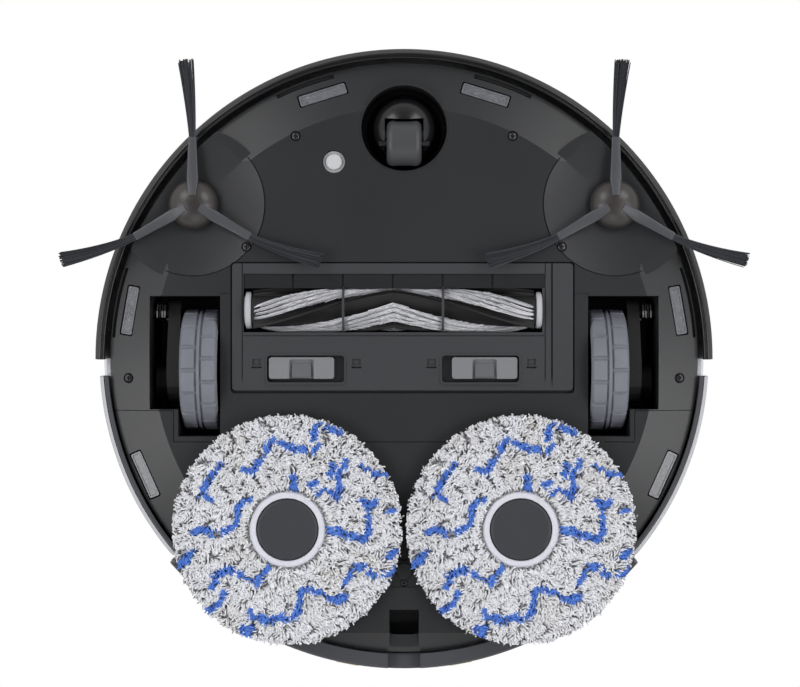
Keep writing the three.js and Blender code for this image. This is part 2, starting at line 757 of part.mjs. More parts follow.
function addBrushCover() {
  piece("brush_cover", brushCover(), PLATE);
  for (const { name } of sides) {
    const x = LATCH[name];
    const tab = slab(
      roundedRectangle(
        x - LATCH.length / 2, LATCH.y - LATCH.depth / 2,
        x + LATCH.length / 2, LATCH.y + LATCH.depth / 2, 1.5),
      10.9, 13.6);
    const notch = block([x - 7, LATCH.y + 1, 10], [x + 7, LATCH.y + 9, 12.2]);
    piece(`${name}_cover_latch`, cut(tab, notch), GREY);
  }
}

// ---- mops ----

function addMops() {
  for (const { name, sign } of sides) {
    const x = sign * MOP.x;
    const cloth = turned(
      [
        [MOP.hole, 1.6],
        [24, 0.4],
        [60, 0.4],
        [MOP.r, 2.4],
        [MOP.r, 5],
        [61, 7],
        [MOP.hole, 7],
      ],
      x,
      MOP.y,
      36,
    );
    const plate = turned(
      [
        [0, 3.4],
        [16.6, 3.4],
        [17.6, 4.4],
        [17.6, 7.3],
        [58, 7.3],
        [58, 10.2],
        [5.6, 10.2],
        [5.6, 33],
        [0, 33],
      ],
      x,
      MOP.y,
      28,
    );
    piece(`${name}_mop_cloth`, cloth, CLOTH);
    piece(`${name}_mop_plate`, plate, DARK);
  }
  const gearbox = cut(
    slab(roundedRectangle(-86, 82, 86, 114, 14), 16.5, 42),
    ...sides.map(({ sign }) => post(6.2, 10, 34, sign * MOP.x, MOP.y, 20)),
  );
  piece("mop_gearbox", gearbox, DARK);
}

// ---- inner parts ----

// L-shaped dirt bin: open in front to the roller chamber and behind to the filter.
function dustBin() {
  const { x, front, back, step, low, ledge, top, wall } = BIN;
  const outer = union(
    block([-x, front, ledge], [x, back, top]),
    block([-x, step, low], [x, back, ledge + 1]),
  );
  const inner = union(
    block([-x + wall, front + wall, ledge + wall], [x - wall, back - wall, top - wall]),
    block([-x + wall, step + wall, low + wall], [x - wall, back - wall, ledge + wall + 1]),
  );
  const mouth = block([-36, step - 1, low + 2.4], [36, step + wall + 1, low + 9.6]);
  const filterOpening = block([-76, back - wall - 1, 48], [-28, back + 1, 70]);
  return cut(outer, inner, mouth, filterOpening);
}

function addInnerParts() {
  piece("dust_bin", dustBin(), SMOKED);
  piece("dust_filter", block([-78, BIN.back - BIN.wall - 7, 46], [-26, BIN.back - BIN.wall - GAP, 72]),
    CLOTH);
  const fanShell = cut(
    post(FAN.r, FAN.low, FAN.high, FAN.x, FAN.y, 32),
    post(FAN.r - 2.4, FAN.low + 2.4, FAN.high - 2.4, FAN.x, FAN.y, 32),
    post(11, 50, 60, FAN.x, FAN.y, 20),
  );
  piece("fan_housing", fanShell, DARK);
  const blades = Array.from({ length: 7 }, (_, i) => {
    const turn = (i * 2 * Math.PI) / 7;
    const vane = new THREE.BoxGeometry(15, 1.4, 16).translate(12.5, 0, 38.5).rotateZ(turn);
    return solid(vane.translate(FAN.x, FAN.y, 0));
  });
  const impeller = union(
    post(21, 28, 31, FAN.x, FAN.y, 28),
    post(6, 30, 48, FAN.x, FAN.y, 16),
    ...blades,
  );
  piece("fan_impeller", impeller, GREY);
  piece("battery_pack", slab(roundedRectangle(-68, -103, 68, -58.5, 4), 15, 54), DARK);
  const board = union(
    slab(roundedRectangle(-70, -155, 70, -62, 3), 62, 63.6),
    block([-22, -128, 63], [8, -98, 66]),
    block([24, -120, 63], [44, -104, 65.4]),
    block([-58, -90, 63], [-38, -76, 68]),
  );
  piece("main_board", board, BOARD);
  const tank = slab(tankOutline(), TANK.low, TANK.high);
  piece("water_tank", tank, SMOKED);
}

// Water tank in plan: a band that follows the rear wall.
function tankOutline() {
  const outline = new THREE.Shape();
  const [from, to] = [TANK.from, TANK.to].map(THREE.MathUtils.degToRad);
  outline.absarc(0, 0, TANK.outer, from, to, false);
  outline.absarc(0, 0, TANK.inner, to, from, true);
  outline.closePath();
  return outline;
}

addBody();
addUpperParts();
addCaster();
addDriveWheels();
addSideBrushes();
addRoller();
addBrushCover();
addMops();
addInnerParts();

export default robot;
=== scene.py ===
import math
import bmesh
import bpy
import numpy as np
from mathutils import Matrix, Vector


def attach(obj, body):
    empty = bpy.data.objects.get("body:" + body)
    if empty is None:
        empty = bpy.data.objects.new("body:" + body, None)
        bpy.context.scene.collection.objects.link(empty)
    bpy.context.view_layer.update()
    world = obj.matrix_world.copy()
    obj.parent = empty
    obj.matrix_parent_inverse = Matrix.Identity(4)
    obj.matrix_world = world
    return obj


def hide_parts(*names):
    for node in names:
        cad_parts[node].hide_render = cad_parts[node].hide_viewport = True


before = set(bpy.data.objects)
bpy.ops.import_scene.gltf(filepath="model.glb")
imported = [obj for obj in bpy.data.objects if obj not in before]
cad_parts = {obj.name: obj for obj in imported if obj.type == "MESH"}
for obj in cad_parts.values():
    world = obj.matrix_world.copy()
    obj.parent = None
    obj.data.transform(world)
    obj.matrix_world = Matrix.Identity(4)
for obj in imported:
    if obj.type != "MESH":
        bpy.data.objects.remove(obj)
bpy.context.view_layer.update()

# ---- Front chassis ---------------------------------------------------------------------------
# The front half of the underside: one moulding in charcoal ABS with a spark-eroded texture. A
# flat plate runs out into a sloped ring, with wells for caster, wheels, side brushes and roller.

PLATE_Z, PLATE_R = 11.0, 143.0  # ground clearance and flat middle, in millimetres as all sizes here
SLOPE_Z, CHASSIS_R = 20.0, 169.0
WALL_TOP, SKIN = 62.0, 2.6
SPLIT_Y, TONGUE = 30.0, (131.5, 47.8)
CASTER = (0.0, -131.3)
CASTER_WELL = 24.5
SIDE_BRUSH = (120.6, -87.9)
DISH_R, DISH_EYE = 41.0, 14.6
WHEEL_BAY = {"inner": 105.0, "outer": 145.5, "narrow": 129.0, "front": -35.4, "back": 29.5, "end": 44.9}
BAY_TOP = 72.8
COVER_LOW, COVER_HIGH = (-98.2, -53.9), (96.4, 18.6)
SENSOR_EYE = (-40.1, -112.0)
SCREWS = [(62.0, -126.7), (90.0, -63.4), (158.0, 11.6)]  # to the right; the left has the same
DROP_SENSORS = [(17.2, 158.0), (80.2, 159.7), (114.3, 163.3)]  # degrees from the front, radius
BODY_STEPS = 240
SIDES = ((-1, "left"), (1, "right"))


def grid_faces(rows, columns, closed=True):
    """Quads between neighbouring rows of a grid of points; a closed row joins its end to its start."""
    row = np.arange(rows - 1)[:, None] * columns
    column = np.arange(columns if closed else columns - 1)[None, :]
    after = (column + 1) % columns
    corners = [row + column, row + after, row + columns + after, row + columns + column]
    return np.stack(corners, -1).reshape(-1, 4)


def mesh_piece(name, points, *faces, crease=17, weld=True):
    """A mesh from millimetre points and arrays of faces: doubles welded, faces turned outwards,
    smooth except where two faces meet at more than crease degrees."""
    mesh = bpy.data.meshes.new(name)
    points = np.asarray(points, float).reshape(-1, 3) / 1000
    sizes = np.concatenate([np.full(len(f), f.shape[1]) for f in faces])
    mesh.vertices.add(len(points))
    mesh.vertices.foreach_set("co", points.ravel())
    mesh.loops.add(int(sizes.sum()))
    mesh.loops.foreach_set("vertex_index", np.concatenate([f.ravel() for f in faces]))
    mesh.polygons.add(len(sizes))
    mesh.polygons.foreach_set("loop_start", np.concatenate([[0], np.cumsum(sizes)[:-1]]))
    mesh.update(calc_edges=True)
    if weld:
        form = bmesh.new()
        form.from_mesh(mesh)
        bmesh.ops.remove_doubles(form, verts=form.verts, dist=2e-6)
        bmesh.ops.recalc_face_normals(form, faces=form.faces)
        form.to_mesh(mesh)
        form.free()
    mesh.shade_smooth()
    mesh.set_sharp_from_angle(angle=math.radians(crease))
    piece = bpy.data.objects.new(name, mesh)
    bpy.context.scene.collection.objects.link(piece)
    return piece


def turned(name, profile, x=0.0, y=0.0, steps=BODY_STEPS, along_x=False):
    """A closed profile of (radius, height) turned through a full circle: x + r cos, y + r sin, height.
    Along X, height becomes X and the circle stands about the line through (y, z) given as x, y."""
    radius, height = np.array(profile, float).T
    turn = np.linspace(0, 2 * np.pi, steps, endpoint=False)[:, None]
    across, aside = radius * np.cos(turn) + x, radius * np.sin(turn) + y
    up = np.broadcast_to(height, across.shape)
    points = np.stack([up, across, aside] if along_x else [across, aside, up], -1)
    points = np.concatenate([points, points[:1]])
    return mesh_piece(name, points, grid_faces(steps + 1, len(profile)))


def upright(name, outline, low, high):
    """A plan outline of (x, y) corners given height from low to high, with one face at each end."""
    outline = np.asarray(outline, float)
    count = len(outline)
    rings = [np.c_[outline, np.full(count, z)] for z in (low, high)]
    ends = np.arange(2 * count).reshape(2, count)
    return mesh_piece(name, np.concatenate(rings), grid_faces(2, count), ends)


def block(name, low, high):
    """A box between two opposite corners, given either way round."""
    (x0, x1), (y0, y1), (z0, z1) = (sorted(ends) for ends in zip(low, high))
    return upright(name, [(x0, y0), (x1, y0), (x1, y1), (x0, y1)], z0, z1)


def band(name, inner, outer, low, high, x=0.0, y=0.0, steps=BODY_STEPS, along_x=False):
    """A ring of square section, or a round bar where inner is 0."""
    return turned(name, [(inner, low), (outer, low), (outer, high), (inner, high)], x, y, steps, along_x)


def reshaped(piece, change):
    """The piece with every point put through change, which takes and gives x, y and z in millimetres."""
    points = np.empty(len(piece.data.vertices) * 3)
    piece.data.vertices.foreach_get("co", points)
    moved = np.stack(change(*points.reshape(-1, 3).T * 1000), -1) / 1000
    piece.data.vertices.foreach_set("co", moved.ravel())
    piece.data.update()
    return piece


def rounded(x0, y0, x1, y1, radius, steps=8):
    """A rectangle's outline whose corners are quarter circles: corner centre plus radius (cos, sin)."""
    turn = np.linspace(0, np.pi / 2, steps)
    centres = [(x1, y1, 0), (x0, y1, 1), (x0, y0, 2), (x1, y0, 3)]
    quarters = []
    for x, y, quarter in centres:
        angle = turn + quarter * np.pi / 2
        middle = (x1 - radius if x == x1 else x0 + radius, y1 - radius if y == y1 else y0 + radius)
        quarters.append(middle + radius * np.stack([np.cos(angle), np.sin(angle)], -1))
    return np.concatenate(quarters)


def carve(body, *steps):
    """The body after each (operation, tool) of Blender's solid boolean in turn; the tools are used up."""
    for operation, tool in steps:
        modifier = body.modifiers.new(operation, "BOOLEAN")
        modifier.operation = operation
        modifier.solver = "MANIFOLD"
        modifier.object = tool
    bpy.context.view_layer.update()
    shaped = body.evaluated_get(bpy.context.evaluated_depsgraph_get())
    mesh = bpy.data.meshes.new_from_object(shaped)
    body.modifiers.clear()
    body.data = mesh
    for _, tool in steps:
        bpy.data.objects.remove(tool)
    return body


def join(*tools):
    return [("UNION", tool) for tool in tools]


def cut(*tools):
    return [("DIFFERENCE", tool) for tool in tools]


def soften(piece, width=0.3, crease=38):
    """Rounds edges sharper than crease to a mould's radius; fainter edges stay, but show as edges."""
    piece.data.shade_smooth()
    piece.data.set_sharp_from_angle(angle=math.radians(17))
    bevel = piece.modifiers.new("mould_radius", "BEVEL")
    bevel.width = width / 1000
    bevel.segments = 2
    bevel.limit_method = "ANGLE"
    bevel.angle_limit = math.radians(crease)
    bevel.harden_normals = True
    return piece


class Wire:
    """A shader socket. Arithmetic on it adds Math nodes."""

    def __init__(self, finish, socket):
        self.finish = finish
        self.socket = socket

    def math(self, operation, *values):
        return self.finish.node("ShaderNodeMath", {"operation": operation}, dict(enumerate(values)))

    def __add__(self, other):
        return self.math("ADD", self, other)

    def __sub__(self, other):
        return self.math("SUBTRACT", self, other)

    def __rsub__(self, other):
        return self.math("SUBTRACT", other, self)

    def __mul__(self, other):
        return self.math("MULTIPLY", self, other)

    __radd__ = __add__
    __rmul__ = __mul__

    def ramp(self, low, high):
        """0 below low, 1 above high, and smooth between."""
        settings = {"interpolation_type": "SMOOTHSTEP"}
        return self.finish.node("ShaderNodeMapRange", settings, {"Value": self, 1: low, 2: high})


class Finish:
    """A material being made: a Principled shader and the nodes that vary it over Object coordinates."""

    def __init__(self, name, **fixed):
        self.material = bpy.data.materials.new(name)
        self.material.use_nodes = True
        self.tree = self.material.node_tree
        self.shader = self.tree.nodes["Principled BSDF"]
        for socket, value in fixed.items():
            self.shader.inputs[socket.replace("_", " ")].default_value = value
        self.place = self.node("ShaderNodeTexCoord", output="Object")

    def node(self, kind, settings=None, inputs=None, output=0):
        """Any node: its settings are set first, then the value or link of each socket."""
        node = self.tree.nodes.new(kind)
        for key, value in (settings or {}).items():
            setattr(node, key, value)
        for key, value in (inputs or {}).items():
            self.feed(node.inputs[key], value)
        return Wire(self, node.outputs[output])

    def feed(self, socket, value):
        if isinstance(value, Wire):
            self.tree.links.new(value.socket, socket)
        else:
            socket.default_value = value

    def stretched(self, x, y, z):
        return self.node("ShaderNodeMapping", None, {"Vector": self.place, "Scale": (x, y, z)})

    def noise(self, scale, detail=3.0, roughness=0.5, place=None):
        inputs = {"Vector": place or self.place, "Scale": scale, "Detail": detail, "Roughness": roughness}
        return self.node("ShaderNodeTexNoise", None, inputs)

    def blend(self, low, high, factor):
        """One colour turning into another as the factor goes from 0 to 1."""
        return self.node("ShaderNodeMix", {"data_type": "RGBA"}, {0: factor, 6: low, 7: high}, output=2)

    def attribute(self, name):
        return self.node("ShaderNodeAttribute", {"attribute_name": name}, output="Fac")

    def colour(self, value):
        self.feed(self.shader.inputs["Base Color"], value)

    def gloss(self, value):
        self.feed(self.shader.inputs["Roughness"], value)

    def relief(self, height, depth):
        """Bump of a height between 0 and 1, depth metres deep."""
        bump = self.node("ShaderNodeBump", None, {"Height": height, "Distance": depth, "Strength": 1.0})
        self.feed(self.shader.inputs["Normal"], bump)


def paint(red, green, blue):
    """A colour given in display steps from 0 to 255, as linear light."""
    steps = np.array([red, green, blue]) / 255
    light = np.where(steps <= 0.04045, steps / 12.92, ((steps + 0.055) / 1.055) ** 2.4)
    return (*light.tolist(), 1.0)


def moulded(name, colour, roughness, grain=2e-5, grain_scale=1500.0, mottle=0.16, **fixed):
    """Injection-moulded plastic: a fine grain, cloudy gloss where the tool was polished unevenly,
    and thin scuffs along the way it is slid about."""
    finish = Finish(name, **fixed)
    cloud = finish.noise(14.0, 4.0)
    grit = finish.noise(grain_scale, 2.0, 0.6)
    scratch = finish.noise(70.0, 2.0, 0.5, finish.stretched(1.0, 9.0, 9.0)).ramp(0.66, 0.74)
    tint = cloud * mottle + grit * mottle
    darker = tuple(0.82 * c for c in colour[:3]) + (1.0,)
    lighter = tuple(min(1.0, 1.22 * c + 0.003) for c in colour[:3]) + (1.0,)
    finish.colour(finish.blend(darker, lighter, tint + (0.5 - mottle)))
    finish.gloss(cloud * 0.12 + grit * 0.08 + scratch * 0.06 + (roughness - 0.1))
    finish.relief(grit - scratch * 0.25, grain)
    return finish.material


def fit(piece, body, slot, material, *nodes):
    """Gives a finished piece its material and body, and lets it stand for its CAD nodes. The slot is not
    used.
    """
    piece.data.materials.clear()
    piece.data.materials.append(material)
    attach(piece, body)
    if nodes:
        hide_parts(*nodes)
    return piece


def tray(name):
    """The moulding's skin: flat plate, sloped ring and upright wall, turned from one profile."""
    return turned(name, [
        (0, PLATE_Z), (PLATE_R, PLATE_Z), (CHASSIS_R, SLOPE_Z), (CHASSIS_R, WALL_TOP),
        (CHASSIS_R - SKIN, WALL_TOP), (CHASSIS_R - SKIN, SLOPE_Z + 1.4),
        (PLATE_R - 0.6, PLATE_Z + SKIN), (0, PLATE_Z + SKIN)])


def bay_outline(side, margin):
    """Plan of a wheel bay: wide beside the gearbox, narrow behind the tyre."""
    b = WHEEL_BAY
    corners = [
        (b["inner"] - margin, b["front"] - margin), (b["outer"] + margin, b["front"] - margin),
        (b["outer"] + margin, b["back"] + margin), (b["narrow"] + margin, b["back"] + margin),
        (b["narrow"] + margin, b["end"] + margin), (b["inner"] - margin, b["end"] + margin)]
    return [(side * x, y) for x, y in corners]


def dish(name, side, outset):
    """The cone around a side brush: its radius falls from DISH_R at the plate to the hub's eye, 6 mm deep."""
    profile = [
        (0, PLATE_Z - 4), (DISH_R + 3 + outset, PLATE_Z - 4 + outset),
        (DISH_R + outset, PLATE_Z + outset / 2),
        (DISH_EYE + outset, PLATE_Z + 6 + outset), (0, PLATE_Z + 6 + outset)]
    return turned(name, profile, side * SIDE_BRUSH[0], SIDE_BRUSH[1], 128)


def post(name, radius, low, high, x, y, steps=48):
    return band(name, 0, radius, low, high, x, y, steps)


def slope_height(radius):
    return PLATE_Z + (radius - PLATE_R) * (SLOPE_Z - PLATE_Z) / (CHASSIS_R - PLATE_R)


def skin_height(x, y):
    """How high the underside is above the floor at a place on the plate or the slope."""
    return slope_height(max(PLATE_R, math.hypot(x, y)))


def slope_tile(name, side, degrees, radius, length, width, thickness, sink, corner=1.2):
    """A rounded tile on the sloped ring: laid flat, tipped to the slope, moved out and swung round."""
    outline = rounded(-length / 2, -width / 2, length / 2, width / 2, corner)
    tile = upright(name, outline, sink, sink + thickness)
    pitch = math.atan2(SLOPE_Z - PLATE_Z, CHASSIS_R - PLATE_R)
    turn = side * math.radians(degrees)

    def laid(x, y, z):
        y, z = y * math.cos(pitch) + z * math.sin(pitch), z * math.cos(pitch) - y * math.sin(pitch)
        y, z = y - radius, z + slope_height(radius)
        return x * math.cos(turn) - y * math.sin(turn), x * math.sin(turn) + y * math.cos(turn), z

    return reshaped(tile, laid)


def arc_slot(name, degrees_from, degrees_to, inner, outer, low, high):
    """A band of a ring between two angles from the front, given height."""
    turn = np.radians(np.linspace(degrees_from, degrees_to, 40))
    outer_edge = np.stack([outer * np.sin(turn), -outer * np.cos(turn)], -1)
    inner_edge = np.stack([inner * np.sin(turn), -inner * np.cos(turn)], -1)[::-1]
    return upright(name, np.concatenate([outer_edge, inner_edge]), low, high)


def sensor_pockets(tag):
    return [
        slope_tile(f"pocket_{tag}_{side}_{i}", side, degrees, radius, 29.2, 8.2, 7.0, -3.0)
        for side in (-1, 1) for i, (degrees, radius) in enumerate(DROP_SENSORS)]


def front_region(name, margin):
    """Plan of the front moulding: all ahead of the split line, with a tongue behind each wheel bay."""
    wide, back = TONGUE[0] - margin, TONGUE[1] - margin
    split = SPLIT_Y - margin
    outline = [(-200, -200), (200, -200), (200, split), (wide, split), (wide, back), (-wide, back),
               (-wide, split), (-200, split)]
    return upright(name, outline, -5, 120)


underside_black = moulded("underside_black", paint(36, 37, 39), 0.38, Specular_IOR_Level=0.42)


def front_chassis():
    chamber = block("chamber", (-96.8, -47.8, 14), (83.3, -6.8, 32.8))
    frame_low = (COVER_LOW[0] - 2.6, COVER_LOW[1] - 2.6, 12)
    frame_back = block("frame_back", frame_low, (COVER_HIGH[0] + 2.6, COVER_HIGH[1] + 3.4, 16.2))
    x0, y0, x1, y1 = *COVER_LOW, *COVER_HIGH
    bays = [upright(f"bay_{s}", bay_outline(s, 1.7), 14, BAY_TOP + 1.7) for s in (-1, 1)]
    well = post("well", CASTER_WELL + 2, 12, 44, *CASTER, steps=96)
    backs = []
    for side in (-1, 1):
        back = dish(f"dish_back_{side}", side, 2.6)
        backs.append(carve(back, ("INTERSECT", post("inside_wall", 168, 12, 30, 0, 0, BODY_STEPS))))
    openings = [
        *[upright(f"bay_cut_{s}", bay_outline(s, 0), -5, BAY_TOP) for s in (-1, 1)],
        upright("cover_cut", rounded(x0 - 0.9, y0 - 0.9, x1 + 0.9, y1 + 1.7, 2.4), 0, 14.2),
        block("chamber_cut", (-95, -46, 14), (81.5, -8.6, 31)),
        block("duct_cut", (-38, -9.6, 22), (38, -4.6, 29.5)),
        band("axle_cut", 0, 3, 80.5, 96.8, -27.3, 16, 32, along_x=True),
        post("well_cut", CASTER_WELL, 0, 41, *CASTER, steps=128),
        turned("well_rim", [
            (0, 0), (CASTER_WELL + 1.2, 0), (CASTER_WELL + 1.2, PLATE_Z + 0.4), (0, PLATE_Z + 2.4)],
            *CASTER, steps=128),
        post("stem_cut", 4.4, 40, 46, *CASTER),
        post("sensor_cut", 6.6, 0, 20, *SENSOR_EYE),
        *[dish(f"dish_cut_{s}", s, 0) for s in (-1, 1)],
        *[band(f"dish_line_{s}", DISH_R - 0.2, DISH_R + 0.5, 9, 11.9, s * SIDE_BRUSH[0], SIDE_BRUSH[1], 128)
          for s in (-1, 1)],
        *[post(f"shaft_cut_{s}", 3.4, 10, 30, s * SIDE_BRUSH[0], SIDE_BRUSH[1]) for s in (-1, 1)],
        *[post(f"screw_cut_{s}_{x:.0f}", 3.0, 0, skin_height(x, y) + 1.9, s * x, y)
          for s in (-1, 1) for x, y in SCREWS],
        *sensor_pockets("front"),
        *[arc_slot(f"lip_slot_{s}", *sorted((s * 14, s * 26)), 165.6, 168, 12, 22) for s in (-1, 1)],
        *[arc_slot(f"side_slot_{s}", *sorted((s * 72, s * 86)), 166.4, 168.2, 12, 22) for s in (-1, 1)],
        *[block(f"bay_seam_{s}", (s * 96.5, -37, 9), (s * 105.5, -36.4, 11.5)) for s in (-1, 1)],
    ]
    body = carve(tray("underside_front"), *join(*bays, chamber, frame_back, well, *backs), *cut(*openings),
                 ("INTERSECT", front_region("front_half", 0.0)))
    return soften(body, 0.25)


fit(front_chassis(), "chassis", "underside_plastic", underside_black, "front_chassis")


def screw_heads(name, places, radius, low, high):
    """Pan-head screws with a cross recess, in one piece: a low dome with two crossed slots."""
    heads = []
    for i, (x, y, z) in enumerate(places):
        turn = np.linspace(0, np.pi / 2, 6)
        dome = [(0, z + high), *[(radius * math.cos(a), z - (high - low) * math.sin(a) * 0.6) for a in turn]]
        head = turned(f"{name}_{i}", dome, x, y, 32)
        slots = [block("slot", (x - a, y - b, z - 3), (x + a, y + b, z + 0.4))
                 for a, b in ((1.3, 0.3), (0.3, 1.3))]
        heads.append(carve(head, *cut(*slots)))
    return carve(heads[0], *join(*heads[1:]))


steel = Finish("bright_steel", Metallic=1.0)
steel.colour(steel.blend(paint(150, 150, 152), paint(196, 196, 198), steel.noise(60.0)))
steel.gloss(steel.noise(900.0, 2.0, 0.6, steel.stretched(1, 14, 1)) * 0.25 + 0.16)
steel.relief(steel.noise(1200.0, 2.0, 0.6, steel.stretched(1, 14, 1)), 8e-6)

dull_steel = Finish("blacked_steel", Metallic=1.0)
dull_steel.colour(dull_steel.blend(paint(52, 52, 55), paint(88, 88, 92), dull_steel.noise(300.0)))
dull_steel.gloss(dull_steel.noise(240.0) * 0.3 + 0.25)
dull_steel.relief(dull_steel.noise(1600.0), 1e-5)

screw_places = [(s * x, y, skin_height(x, y) + 1.2) for s in (-1, 1) for x, y in SCREWS]
fit(screw_heads("underside_screws", screw_places, 2.3, -0.6, 0.6), "chassis", "steel", dull_steel.material)

# ---- Rear deck -------------------------------------------------------------------------------
# The rear half of the underside, under the mops. It holds the two mop shafts, and its back end
# is cut out for the tongue of the dock, with a boss and a screw between the pads.

MOP = (66.3, 97.4)
DOCK_HALF, DOCK_Y = 8.4, 143.7


def rear_deck():
    region = front_region("front_half", -0.35)
    ridge = upright("dock_panel", [
        (-30, 131), (30, 131), (43, 150), (43, 157), (-43, 157), (-43, 150)], 10.4, 12.5)
    boss = turned("deck_boss", [(0, 10), (4.2, 10), (4.8, 10.6), (4.8, 12), (0, 12)], 0, 121.5, 48)
    openings = [
        *[post(f"mop_cut_{s}", 8, 5, 30, s * MOP[0], MOP[1], 64) for s in (-1, 1)],
        block("dock_cut", (-DOCK_HALF, DOCK_Y, 0), (DOCK_HALF, 190, 19)),
        upright("deck_slot", rounded(-3.4, 107, 3.4, 116, 1.2), 0, 12.4),
        post("deck_screw_cut", 2.3, 0, 12.4, 0, 128.6),
        *sensor_pockets("rear"),
    ]
    body = carve(tray("underside_rear"), *join(ridge, boss), *cut(region, *openings))
    return soften(body, 0.25)


fit(rear_deck(), "chassis", "underside_plastic", underside_black, "rear_deck")
fit(screw_heads("deck_screw", [(0, 128.6, 12.0)], 2.0, -0.5, 0.4), "chassis", "steel", dull_steel.material)

# ---- Rear shell and charging contacts --------------------------------------------------------
# A satin grey wall behind the side skirts, thickened at the back into the panel that meets the
# dock. Two sprung brass-faced plates are let into it; they are nickel plated and rubbed bright.

REAR_Y, PANEL_Y, SKIRT_END = 11.0, 118.0, 115.0
BODY_R, PANEL_R, CONTACT_FACE = 181.0, 180.0, 180.1


def behind(name, y, until=200.0):
    return block(name, (-200, y, -5), (200, until, 125))


def contact_pocket(name, side, margin):
    """A block on the round rear at X = 33 mm, turned to face outwards."""
    turn = math.asin(33 / BODY_R)
    half_length, half_depth = 6.7 + margin, 0.9 + margin
    signs = np.array([(-1, -1), (1, -1), (1, 1), (-1, 1)])
    corners = signs * (half_length, half_depth)
    corners[:, 1] += CONTACT_FACE - 0.9
    swing = -side * turn
    x = corners[:, 0] * math.cos(swing) - corners[:, 1] * math.sin(swing)
    y = corners[:, 0] * math.sin(swing) + corners[:, 1] * math.cos(swing)
    return upright(name, np.stack([x, y], -1), 25.7 - margin, 30.3 + margin)


shell_grey = moulded("shell_grey", paint(62, 63, 68), 0.42, grain=1.4e-5, Specular_IOR_Level=0.5)
wall = carve(
    turned("rear_wall", [
        (170, 16.8), (171.6, 16.8), (172.6, 18.4), (177.2, 50), (177.2, 72), (174.8, 72), (174.8, 50),
        (170.2, 20.4)]),
    ("INTERSECT", behind("rear_part", REAR_Y)))
panel = carve(
    turned("rear_panel", [
        (171, 16.8), (177.4, 16.8), (178.3, 17.6), (179.2, 22), (PANEL_R, 40), (PANEL_R, 72),
        (174.9, 72), (174.9, 50), (170.6, 20.4)]),
    ("INTERSECT", behind("panel_part", PANEL_Y)))
carve(wall, *join(panel), *cut(
    block("dock_notch", (-9.4, 165, 10), (9.4, 190, 24)),
    *[contact_pocket(f"contact_cut_{s}", s, 0.35) for s in (-1, 1)],
    arc_slot("panel_line", 139, 221, 179.4, 184, 44, 44.6)))
fit(soften(wall, 0.4), "chassis", "shell_plastic", shell_grey, "rear_shell")

brass = Finish("worn_brass", Metallic=1.0)
rub = brass.noise(90.0, 3.0, 0.6, brass.stretched(1, 1, 6)).ramp(0.4, 0.65)
brass.colour(brass.blend(paint(214, 190, 132), paint(226, 222, 210), rub))
brass.gloss(rub * -0.14 + 0.36)
brass.relief(brass.noise(800.0, 2.0, 0.6, brass.stretched(1, 1, 10)), 1e-5)
for side, word in SIDES:
    plate = soften(contact_pocket(f"{word}_contact_plate", side, 0), 0.5)
    fit(plate, "chassis", "contact_brass", brass.material, f"{word}_charging_contact")

# ---- Drop sensors and carpet sensor ----------------------------------------------------------
# Six smoked windows snapped into the sloped ring, each over an infrared pair that shows dimly
# through it. The carpet sensor is an ultrasonic can, matt grey, in a round eye beside the caster.

smoked = Finish("smoked_lens", Coat_Weight=0.3, Coat_Roughness=0.12)
haze = smoked.noise(260.0, 4.0, 0.65)
speck = smoked.noise(900.0, 2.0, 0.7).ramp(0.52, 0.72)
smoked.colour(smoked.blend(paint(66, 66, 71), paint(132, 134, 140), haze * 0.6 + speck * 0.6))
smoked.gloss(haze * 0.3 + 0.16)
smoked.relief(smoked.noise(420.0, 3.0) + speck * 0.4, 5e-5)
for side, word in SIDES:
    for (degrees, radius), place in zip(DROP_SENSORS, ("front", "side", "rear")):
        lens = slope_tile(f"lens_{place}_{word}", side, degrees, radius, 27.6, 6.6, 2.2, 0.2, 1.0)
        cavity = slope_tile("lens_step", side, degrees, radius, 25.4, 4.6, 1.2, -0.6, 0.8)
        lens = soften(carve(lens, *cut(cavity)), 0.25)
        fit(lens, "chassis", "smoked_window", smoked.material, f"cliff_window_{place}_{word}")

x, y = SENSOR_EYE
can = turned("carpet_sensor_can", [
    (0, 11.75), (3.6, 11.8), (4.3, 12.0), (4.6, 12.5), (4.7, 13.4), (6.2, 13.4), (6.2, 22), (0, 22)],
    x, y, 96)
sensor_grey = moulded("sensor_grey", paint(186, 187, 190), 0.6, grain=3e-5)
fit(can, "chassis", "grey_plastic", sensor_grey, "carpet_sensor")

# ---- Bumper ----------------------------------------------------------------------------------
# A sprung gloss-black shell around the front half. Its lower edge turns in under the body in a
# lip with a groove, and a smoked window for the range sensors is let into its face.

gloss_black = Finish("gloss_black", Coat_Weight=0.2, Coat_Roughness=0.15, Specular_IOR_Level=0.4)
swirl = gloss_black.noise(40.0, 4.0)
hair = gloss_black.noise(120.0, 2.0, 0.5, gloss_black.stretched(9, 1, 1)).ramp(0.68, 0.72)
gloss_black.colour(gloss_black.blend(paint(14, 14, 16), paint(25, 25, 28), swirl))
gloss_black.gloss(swirl * 0.14 + hair * 0.08 + 0.24)
gloss_black.relief(gloss_black.noise(500.0, 2.0) - hair * 0.4, 6e-6)

bumper_profile = [
    (171.6, 15.4), (171.9, 14.8), (172.6, 14.6), (172.9, 15.5), (173.6, 15.5), (173.9, 14.6), (174.7, 14.8),
    (175.3, 15.6), (177.4, 24.6), (179.4, 34), (180.6, 40), (BODY_R, 44), (BODY_R, 72.6), (180.6, 74.6),
    (179.4, 76), (177, 76), (177, 44), (176.2, 34), (173.2, 18.4), (171.6, 18.4)]


WINDOW_TURN, WINDOW_BACK, WINDOW_LEVELS = 39, 179.2, (46, 66)


